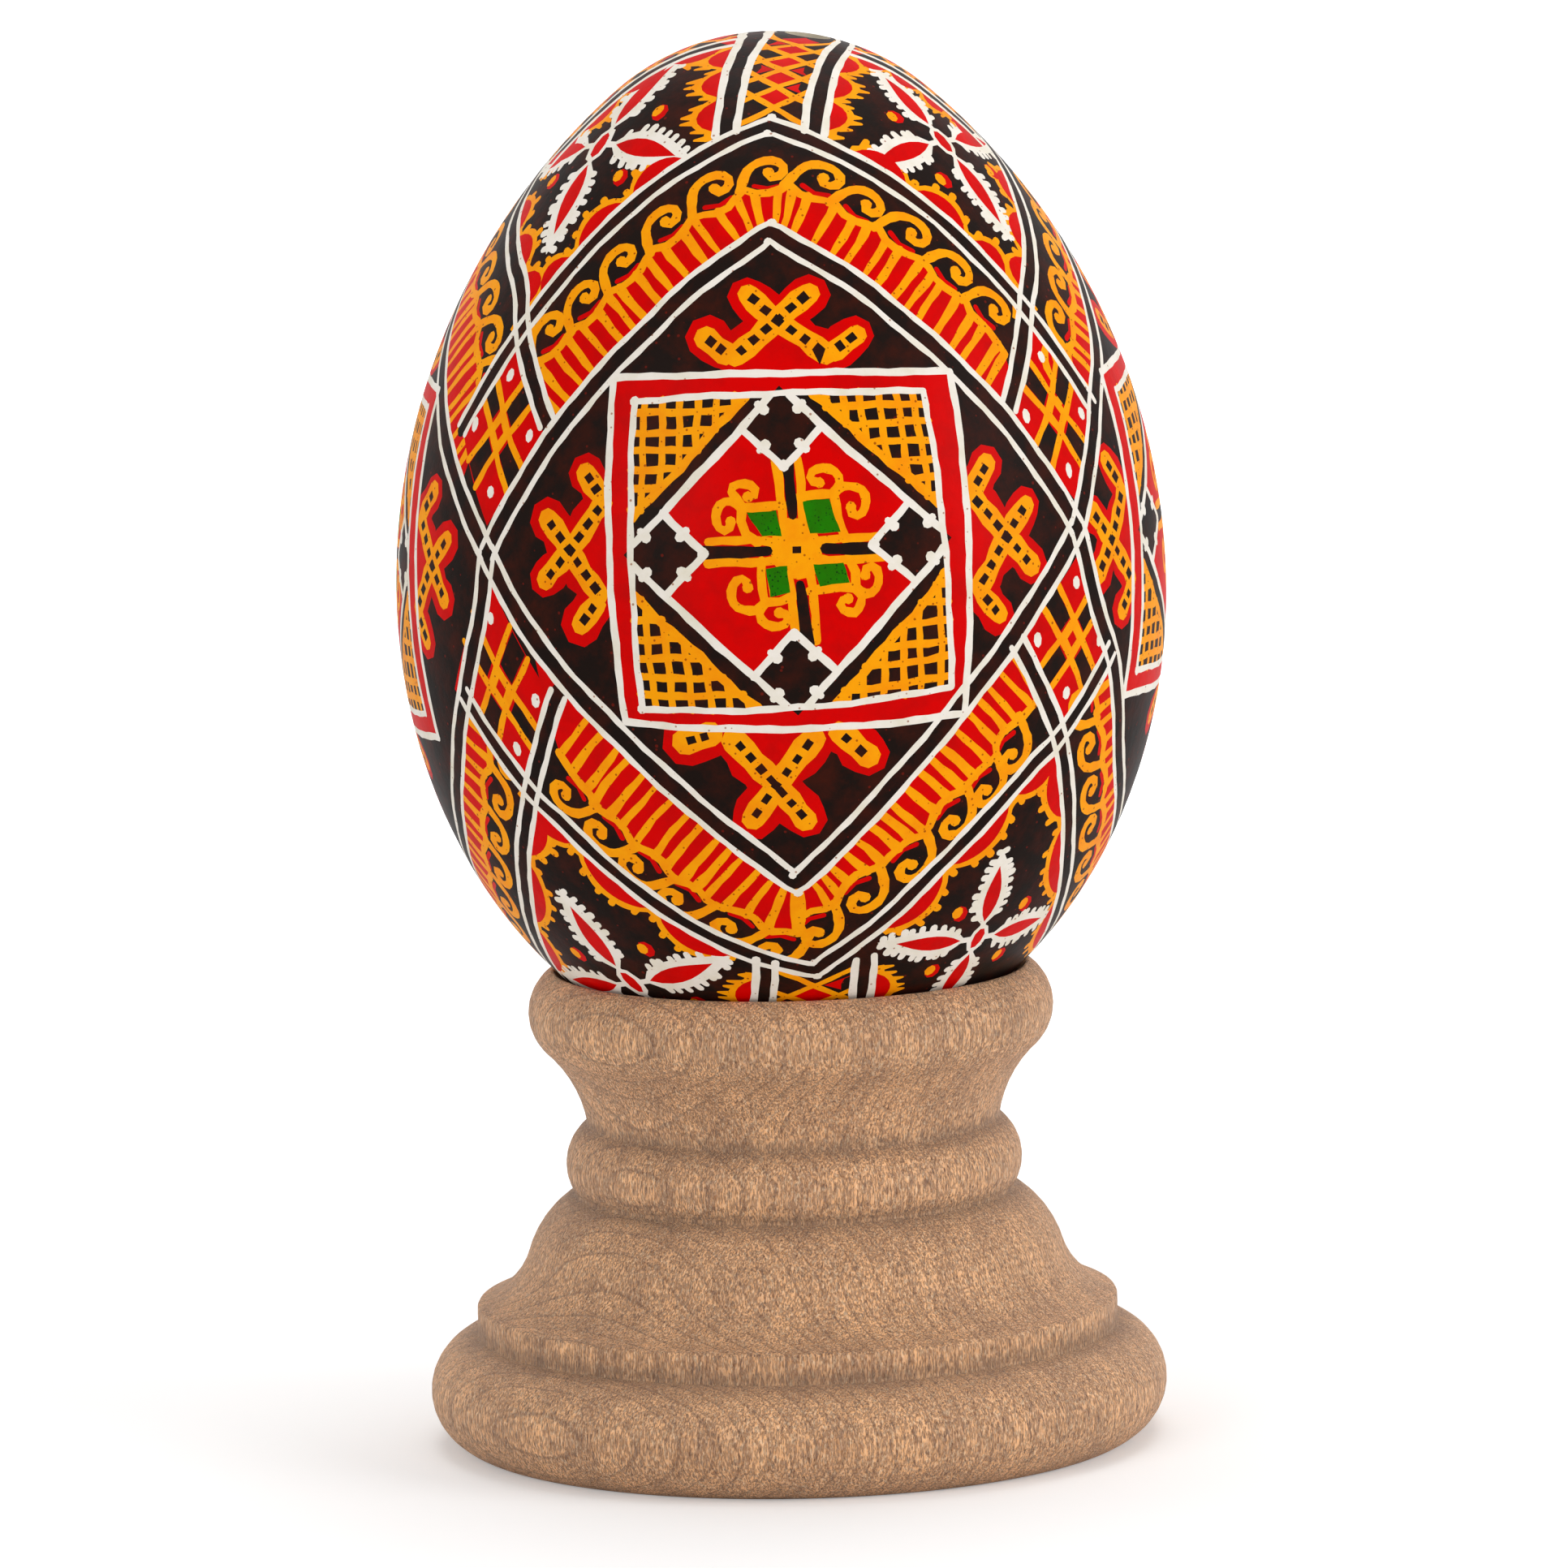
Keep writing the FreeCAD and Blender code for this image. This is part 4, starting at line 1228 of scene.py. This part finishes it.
def arc_points(centre, start, end, count=40):
    """Points of a circle's arc, the short way from start to end."""
    a = math.atan2(start[1] - centre[1], start[0] - centre[0])
    b = math.atan2(end[1] - centre[1], end[0] - centre[0])
    b = a + (b - a + math.pi) % TURN - math.pi
    radius = math.dist(centre, start)
    return [(centre[0] + radius * math.cos(t), centre[1] + radius * math.sin(t))
            for t in np.linspace(a, b, count)]


def centre_of(start, end, radius, side):
    """Centre of an arc of a given radius, to one side of its chord."""
    middle = ((start[0] + end[0]) / 2, (start[1] + end[1]) / 2)
    dx, dy = end[0] - start[0], end[1] - start[1]
    chord = math.hypot(dx, dy)
    rise = math.sqrt(max(radius**2 - chord**2 / 4, 0))
    return middle[0] - side * dy / chord * rise, middle[1] + side * dx / chord * rise


def level_centre(widest, other):
    """Centre, level with the widest place, of an arc from there to another place."""
    dx, dy = widest[0] - other[0], other[1] - widest[1]
    radius = (dx**2 + dy**2) / (2 * dx)
    return widest[0] - radius, widest[1]


def tangent_centre(centre, joint, end):
    """Centre of an arc that runs on smoothly from another one at joint and ends at end."""
    ux, uy = joint[0] - centre[0], joint[1] - centre[1]
    size = math.hypot(ux, uy)
    ux, uy = ux / size, uy / size
    dx, dy = end[0] - joint[0], end[1] - joint[1]
    t = (dx**2 + dy**2) / (2 * (dx * ux + dy * uy))
    return joint[0] + ux * t, joint[1] + uy * t


def flare_joint(centre):
    """Where the flare meets the rim's lower arc, and the flare's own centre."""
    reach = FLARE_ARC + RIM_ARC
    low, high = math.radians(-89), math.radians(-5)
    for _ in range(60):
        middle = (low + high) / 2
        there = (centre[0] + reach * math.cos(middle), centre[1] + reach * math.sin(middle))
        if math.dist(there, NECK) > FLARE_ARC:
            high = middle
        else:
            low = middle
    joint = (centre[0] + RIM_ARC * math.cos(middle), centre[1] + RIM_ARC * math.sin(middle))
    return joint, there


def stand_outline():
    points = [(0.0, 0.0), (9.0, 0.0), UNDERSIDE]
    points += arc_points(level_centre(FOOT, UNDERSIDE), UNDERSIDE, FOOT)
    points += arc_points(level_centre(FOOT, GROOVE), FOOT, GROOVE)
    points += [STEP]
    hollow = centre_of(STEP, OGEE, HOLLOW_ARC, -1)
    points += arc_points(hollow, STEP, OGEE)
    points += arc_points(tangent_centre(hollow, OGEE, CREASE), OGEE, CREASE)
    points += arc_points(centre_of(CREASE, NECK, BEAD_ARC, 1), CREASE, NECK)
    rim = (RIM[0] - RIM_ARC, RIM[1])
    joint, flare = flare_joint(rim)
    points += arc_points(flare, NECK, joint)
    points += arc_points(rim, joint, RIM)
    points += arc_points(level_centre(RIM, LIP), RIM, LIP)
    depth = LIP[1] - CUP_FLOOR[1]
    bowl = (LIP[0] ** 2 + depth**2) / (2 * depth)
    points += arc_points((0.0, CUP_FLOOR[1] + bowl), LIP, CUP_FLOOR)
    return points


def turning_tree():
    """Turns an outline into a closed lathe form with faint tool marks."""
    tree = bpy.data.node_groups.new("turned_form", "GeometryNodeTree")
    sockets = tree.interface
    sockets.new_socket("Outline", in_out="INPUT", socket_type="NodeSocketGeometry")
    for label, kind, value in (("Sides", "NodeSocketInt", 240), ("Rows", "NodeSocketInt", 300),
                               ("Mark Depth", "NodeSocketFloat", 0.00001),
                               ("Marks per Metre", "NodeSocketFloat", 1400.0),
                               ("Wood", "NodeSocketMaterial", None)):
        made = sockets.new_socket(label, in_out="INPUT", socket_type=kind)
        if value is not None:
            made.default_value = value
    sockets.new_socket("Geometry", in_out="OUTPUT", socket_type="NodeSocketGeometry")
    come, go = node(tree, "NodeGroupInput", (-1200, 0)), node(tree, "NodeGroupOutput", (1300, 0))

    def math_node(operation, a, b=None, place=(0, 0)):
        made = maths(tree, operation, place)
        for socket, value in zip(made.inputs, (a, b)):
            if value is None:
                continue
            if isinstance(value, (int, float)):
                socket.default_value = value
            else:
                tree.links.new(value, socket)
        return made.outputs[0]

    grid = node(tree, "GeometryNodeMeshGrid", (-700, 300))
    sides = math_node("ADD", come.outputs["Sides"], 1, (-900, 300))
    place = node(tree, "GeometryNodeInputPosition", (-1200, -300))
    split = node(tree, "ShaderNodeSeparateXYZ", (-1000, -300))
    sample = node(tree, "GeometryNodeSampleCurve", (-600, -100), mode="FACTOR",
                  use_all_curves=True)
    link(tree, [(sides, grid.inputs["Vertices X"]),
                (come.outputs["Rows"], grid.inputs["Vertices Y"]),
                (place.outputs[0], split.inputs[0]), (come.outputs["Outline"], sample.inputs[0])])
    along = math_node("ADD", split.outputs[1], 0.5, (-800, -200))
    tree.links.new(along, sample.inputs["Factor"])
    spot = node(tree, "ShaderNodeSeparateXYZ", (-400, -100))
    tree.links.new(sample.outputs["Position"], spot.inputs[0])
    angle = math_node("MULTIPLY", math_node("ADD", split.outputs[0], 0.5, (-800, -400)), TURN,
                      (-600, -400))
    phase = math_node("MULTIPLY", spot.outputs[2], come.outputs["Marks per Metre"], (-200, -200))
    ripple = math_node("SINE", math_node("MULTIPLY", phase, TURN, (-100, -300)), None, (0, -200))
    ripple = math_node("SUBTRACT", ripple, 1.0, (100, -200))
    ripple = math_node("MULTIPLY", ripple, come.outputs["Mark Depth"], (200, -200))
    lifted = math_node("GREATER_THAN", spot.outputs[2], 0.0003, (100, -350))
    fade = math_node("MULTIPLY", ripple, lifted, (300, -200))
    marked = math_node("ADD", spot.outputs[0], fade, (400, -100))
    radius = math_node("MAXIMUM", marked, 0.0, (500, -100))
    x = math_node("MULTIPLY", radius, math_node("COSINE", angle, None, (500, -400)), (650, -100))
    y = math_node("MULTIPLY", radius, math_node("SINE", angle, None, (500, -500)), (650, -250))
    whole = node(tree, "ShaderNodeCombineXYZ", (800, -100))
    move = node(tree, "GeometryNodeSetPosition", (900, 200))
    weld = node(tree, "GeometryNodeMergeByDistance", (1000, 200), Distance=1e-6)
    smooth = node(tree, "GeometryNodeSetShadeSmooth", (1050, 50))
    real = node(tree, "GeometryNodeRealizeInstances", (1100, 200))
    finish = node(tree, "GeometryNodeSetMaterial", (1200, 200))
    link(tree, [(x, whole.inputs[0]), (y, whole.inputs[1]), (spot.outputs[2], whole.inputs[2]),
                (grid.outputs["Mesh"], move.inputs["Geometry"]),
                (whole.outputs[0], move.inputs["Position"]),
                (move.outputs[0], weld.inputs["Geometry"]), (weld.outputs[0], smooth.inputs[0]),
                (smooth.outputs[0], real.inputs[0]), (real.outputs[0], finish.inputs["Geometry"]),
                (come.outputs["Wood"], finish.inputs["Material"]),
                (finish.outputs[0], go.inputs["Geometry"])])
    return tree


def make_stand(wood):
    """The turned stand as one closed form."""
    outline = stand_outline()
    curve = bpy.data.curves.new("stand_outline", "CURVE")
    curve.dimensions = "3D"
    spline = curve.splines.new("POLY")
    spline.points.add(len(outline) - 1)
    for point, (r, z) in zip(spline.points, outline):
        point.co = (r * MM, 0, z * MM, 1)
    rough = in_scene("stand_outline", curve)
    lathe = rough.modifiers.new("turning", "NODES")
    lathe.node_group = turning_tree()
    names = {item.name: item.identifier for item in lathe.node_group.interface.items_tree
             if item.in_out == "INPUT"}
    for label, value in (("Sides", 240), ("Rows", 310), ("Mark Depth", 0.000008),
                         ("Marks per Metre", 1500.0), ("Wood", wood)):
        lathe[names[label]] = value
    depsgraph = bpy.context.evaluated_depsgraph_get()
    mesh = bpy.data.meshes.new_from_object(rough.evaluated_get(depsgraph))
    bpy.data.objects.remove(rough)
    mesh.name = "turned_stand"
    solid = bmesh.new()
    solid.from_mesh(mesh)
    bmesh.ops.remove_doubles(solid, verts=solid.verts, dist=2e-6)
    bmesh.ops.recalc_face_normals(solid, faces=solid.faces)
    solid.to_mesh(mesh)
    solid.free()
    # Painted shade: this mask is 1 at the creases' heights on the outside of the stand, and the
    # wood's colour is darkened where it is high.
    hollow = mesh.attributes.new("crease", "FLOAT", "POINT")
    depth = []
    for vertex in mesh.vertices:
        z, r = vertex.co.z / MM, math.hypot(vertex.co.x, vertex.co.y) / MM
        near = max(math.exp(-((z - level) / CREASE_SHADE_SPREAD) ** 2) for level in CREASE_SHADE_HEIGHTS)
        depth.append(near if r > 11 and z < 24 else 0.0)
    hollow.data.foreach_set("value", depth)
    return in_scene("turned_stand", mesh)


def wood_material():
    """Pale bare hardwood with upright grain: growth rings, pores, flecks and rays, and painted
    shade that darkens it in the stand's creases.
    """
    material, tree, shader = plain_material("bare_hardwood", 0.62, (0.5, 0.34, 0.21))
    shader.inputs["Sheen Weight"].default_value = 0.1
    shader.inputs["Sheen Roughness"].default_value = 0.5
    where = real_millimetres(tree, (-1700, 0))
    turn = node(tree, "ShaderNodeMapping", (-1500, 0), Rotation=(0, 0, math.radians(GRAIN_TURN)))
    drift = node(tree, "ShaderNodeMapping", (-1300, 250), Scale=(0.06, 0.06, 0.02))
    wander = node(tree, "ShaderNodeTexNoise", (-1100, 250), Scale=1.0, Detail=3.0, Roughness=0.5)
    split = node(tree, "ShaderNodeSeparateXYZ", (-1300, 0))
    bend = maths(tree, "MULTIPLY_ADD", (-900, 200), 1.3)
    rings = maths(tree, "MULTIPLY", (-750, 200), 1 / RING_SPACING)
    part = maths(tree, "FRACT", (-600, 200))
    link(tree, [(where, turn.inputs["Vector"]), (turn.outputs[0], drift.inputs["Vector"]),
                (drift.outputs[0], wander.inputs["Vector"]), (turn.outputs[0], split.inputs[0]),
                (wander.outputs["Fac"], bend.inputs[0]), (split.outputs[0], bend.inputs[2]),
                (bend.outputs[0], rings.inputs[0]), (rings.outputs[0], part.inputs[0])])
    ring = ramp(tree, part.outputs[0],
                [(0.0, 0.9), (0.04, 0.0), (0.6, 0.1), (0.9, 0.35), (0.96, 1.0)], (-450, 200))

    def streaks(scale, low, high, place):
        fit = node(tree, "ShaderNodeMapping", (-1300, place), Scale=scale)
        noise = node(tree, "ShaderNodeTexNoise", (-1100, place), Scale=1.0, Detail=2.0,
                     Roughness=0.6)
        link(tree, [(turn.outputs[0], fit.inputs["Vector"]),
                    (fit.outputs[0], noise.inputs["Vector"])])
        return ramp(tree, noise.outputs["Fac"], [(low, 0.0), (high, 1.0)], (-800, place))

    fibre = streaks((11.0, 11.0, 1.9), 0.46, 0.60, -100)
    fleck = streaks((6.6, 6.6, 1.2), 0.58, 0.66, -350)
    ray = streaks((6.0, 6.0, 2.4), 0.56, 0.66, -600)
    broad = streaks((0.5, 0.5, 0.12), 0.38, 0.64, -850)
    dust = streaks((9.0, 9.0, 5.0), 0.35, 0.7, -1100)
    # Painted shade mask, strongest in the stand's groove and creases.
    crease = node(tree, "ShaderNodeAttribute", (-800, -1300), attribute_name="crease")

    def blend(base, over, factor, weight, place):
        strength = maths(tree, "MULTIPLY", (place[0] - 150, place[1] - 100), weight)
        made = node(tree, "ShaderNodeMix", place, data_type="RGBA", B=(*over, 1))
        tree.links.new(factor, strength.inputs[0])
        tree.links.new(strength.outputs[0], made.inputs["Factor"])
        if isinstance(base, tuple):
            made.inputs["A"].default_value = (*base, 1)
        else:
            tree.links.new(base, made.inputs["A"])
        return made.outputs["Result"]

    tone = blend((1.0, 0.52, 0.228), (0.62, 0.31, 0.137), broad, 0.85, (-250, 0))
    tone = blend(tone, (0.30, 0.13, 0.05), ring, 0.7, (-50, 0))
    tone = blend(tone, (0.27, 0.11, 0.043), fibre, 0.76, (150, 0))
    tone = blend(tone, (1.0, 0.72, 0.45), ray, 0.5, (350, 0))
    tone = blend(tone, (0.15, 0.052, 0.02), fleck, 0.72, (550, 0))
    tone = blend(tone, (1.0, 0.74, 0.54), dust, 0.27, (750, 0))
    # Painted shade: dark brown blended in by the crease mask, in place of the shade that falls in
    # the creases.
    tone = blend(tone, (0.20, 0.12, 0.075), crease.outputs["Fac"], 0.5, (950, 0))
    height = maths(tree, "MULTIPLY_ADD", (600, -500), -0.7)
    bump = node(tree, "ShaderNodeBump", (800, -400), Strength=0.8, Distance=0.00012)
    link(tree, [(fleck, height.inputs[0]), (fibre, height.inputs[2]),
                (height.outputs[0], bump.inputs["Height"]), (tone, shader.inputs["Base Color"]),
                (bump.outputs["Normal"], shader.inputs["Normal"])])
    shader.location = (1200, 0)
    tree.nodes["Material Output"].location = (1500, 0)
    return material


# ---------------------------------------------------------------- skin inside the shell

def skin_material():
    """Dry, matted fibres of the membrane that lines the shell."""
    material, tree, shader = plain_material("dry_membrane", 0.85, (0.8, 0.74, 0.6))
    where = real_millimetres(tree)
    mat = node(tree, "ShaderNodeTexNoise", (-700, 0), Scale=2.6, Detail=8.0, Roughness=0.7,
               Distortion=1.2)
    stain = node(tree, "ShaderNodeTexNoise", (-700, -300), Scale=0.12, Detail=3.0)
    tone = ramp(tree, mat.outputs["Fac"], [(0.35, (0.62, 0.53, 0.38)), (0.65, (0.83, 0.77, 0.63))],
                (-450, 0))
    shade = ramp(tree, stain.outputs["Fac"], [(0.45, 0.0), (0.7, 0.5)], (-450, -300))
    mix = node(tree, "ShaderNodeMix", (-200, 0), data_type="RGBA", B=(0.5, 0.36, 0.2, 1))
    bump = node(tree, "ShaderNodeBump", (-200, -250), Strength=0.5, Distance=0.00008)
    link(tree, [(where, mat.inputs["Vector"]), (where, stain.inputs["Vector"]),
                (tone, mix.inputs["A"]), (shade, mix.inputs["Factor"]),
                (mix.outputs["Result"], shader.inputs["Base Color"]),
                (mat.outputs["Fac"], bump.inputs["Height"]),
                (bump.outputs["Normal"], shader.inputs["Normal"])])
    return material


def dress_membrane():
    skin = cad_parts["shell_membrane"]
    material = skin_material()
    if skin.material_slots:
        for slot in skin.material_slots:
            slot.material = material
    else:
        skin.data.materials.append(material)


# ---------------------------------------------------------------- floor, light and camera

FLOOR_GLOW, FLOOR_GLOW_FAR = 0.25, 0.85
GLOW_START, GLOW_END = 0.05, 0.35     # metres from the stand's middle
SKY = 0.5
LAMP_AIM = (0, 0, 0.04)
LAMPS = (("front_left", (-0.6, -0.78, 0.4), 0.5, 2.42), ("right", (0.84, -0.34, 0.34), 0.5, 3.45),
         ("overhead", (0.04, 0.22, 0.85), 0.6, 3.0))
CAMERA_PLACE, CAMERA_PITCH, CAMERA_ROLL = (-0.0001, -0.640, 0.1265), -7.9, -1.3
FOCAL_LENGTH = 260.1


def make_floor():
    mesh = bpy.data.meshes.new("floor")
    mesh.from_pydata([(-4, -4, 0), (4, -4, 0), (4, 4, 0), (-4, 4, 0)], [], [(0, 1, 2, 3)])
    floor = in_scene("floor", mesh)
    material, tree, shader = plain_material("pale_floor", 0.9, (0.86, 0.86, 0.86))
    shader.inputs["Specular IOR Level"].default_value = 0.0
    where = node(tree, "ShaderNodeTexCoord", (-800, -400))
    far = node(tree, "ShaderNodeVectorMath", (-600, -400), operation="LENGTH")
    rise = node(tree, "ShaderNodeMapRange", (-400, -400),
                **{"From Min": GLOW_START, "From Max": GLOW_END, "To Min": FLOOR_GLOW,
                   "To Max": FLOOR_GLOW_FAR})
    path = node(tree, "ShaderNodeLightPath", (-400, -150))
    lift = maths(tree, "MULTIPLY", (-200, -200))
    link(tree, [(where.outputs["Object"], far.inputs[0]),
                (far.outputs["Value"], rise.inputs["Value"]),
                (path.outputs["Is Camera Ray"], lift.inputs[0]), (rise.outputs[0], lift.inputs[1]),
                (lift.outputs[0], shader.inputs["Emission Strength"])])
    shader.inputs["Emission Color"].default_value = (1, 1, 1, 1)
    mesh.materials.append(material)


def set_world():
    world = bpy.data.worlds.new("studio")
    bpy.context.scene.world = world
    world.use_nodes = True
    tree = world.node_tree
    back = tree.nodes["Background"]
    back.inputs["Color"].default_value = (1, 1, 1, 1)
    path = node(tree, "ShaderNodeLightPath", (-700, 0))
    seen = maths(tree, "MAXIMUM", (-500, 0))
    any_of = maths(tree, "MAXIMUM", (-350, 0))
    level = node(tree, "ShaderNodeMapRange", (-180, 0), **{"To Min": SKY})
    link(tree, [(path.outputs["Is Camera Ray"], seen.inputs[0]),
                (path.outputs["Is Glossy Ray"], seen.inputs[1]),
                (seen.outputs[0], any_of.inputs[0]),
                (path.outputs["Is Transmission Ray"], any_of.inputs[1]),
                (any_of.outputs[0], level.inputs["Value"]),
                (level.outputs[0], back.inputs["Strength"])])


def lamp(name, place, target, size, power):
    light = bpy.data.lights.new(name, "AREA")
    light.shape = "SQUARE"
    light.size = size
    light.energy = power
    made = in_scene(name, light)
    made.location = place
    made.rotation_euler = (Vector(target) - Vector(place)).to_track_quat("-Z", "Y").to_euler()


def set_light():
    set_world()
    for name, place, size, power in LAMPS:
        lamp(name, place, LAMP_AIM, size, power)


def set_camera():
    camera = bpy.data.cameras.new("camera")
    camera.sensor_width = 36
    camera.lens = FOCAL_LENGTH
    camera.clip_start, camera.clip_end = 0.01, 50
    made = in_scene("camera", camera)
    made.matrix_world = (Matrix.Translation(CAMERA_PLACE)
                         @ Matrix.Rotation(math.radians(90 + CAMERA_PITCH), 4, "X")
                         @ Matrix.Rotation(math.radians(CAMERA_ROLL), 4, "Z"))
    bpy.context.scene.camera = made


# ---------------------------------------------------------------- putting it together

set_camera()
stand = make_stand(wood_material())
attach(stand, "stand")
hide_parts("stand")
shell = make_shell()
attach(shell, "egg")
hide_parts("eggshell")
dress_membrane()
make_floor()
set_light()
bpy.context.scene.view_settings.view_transform = "Standard"
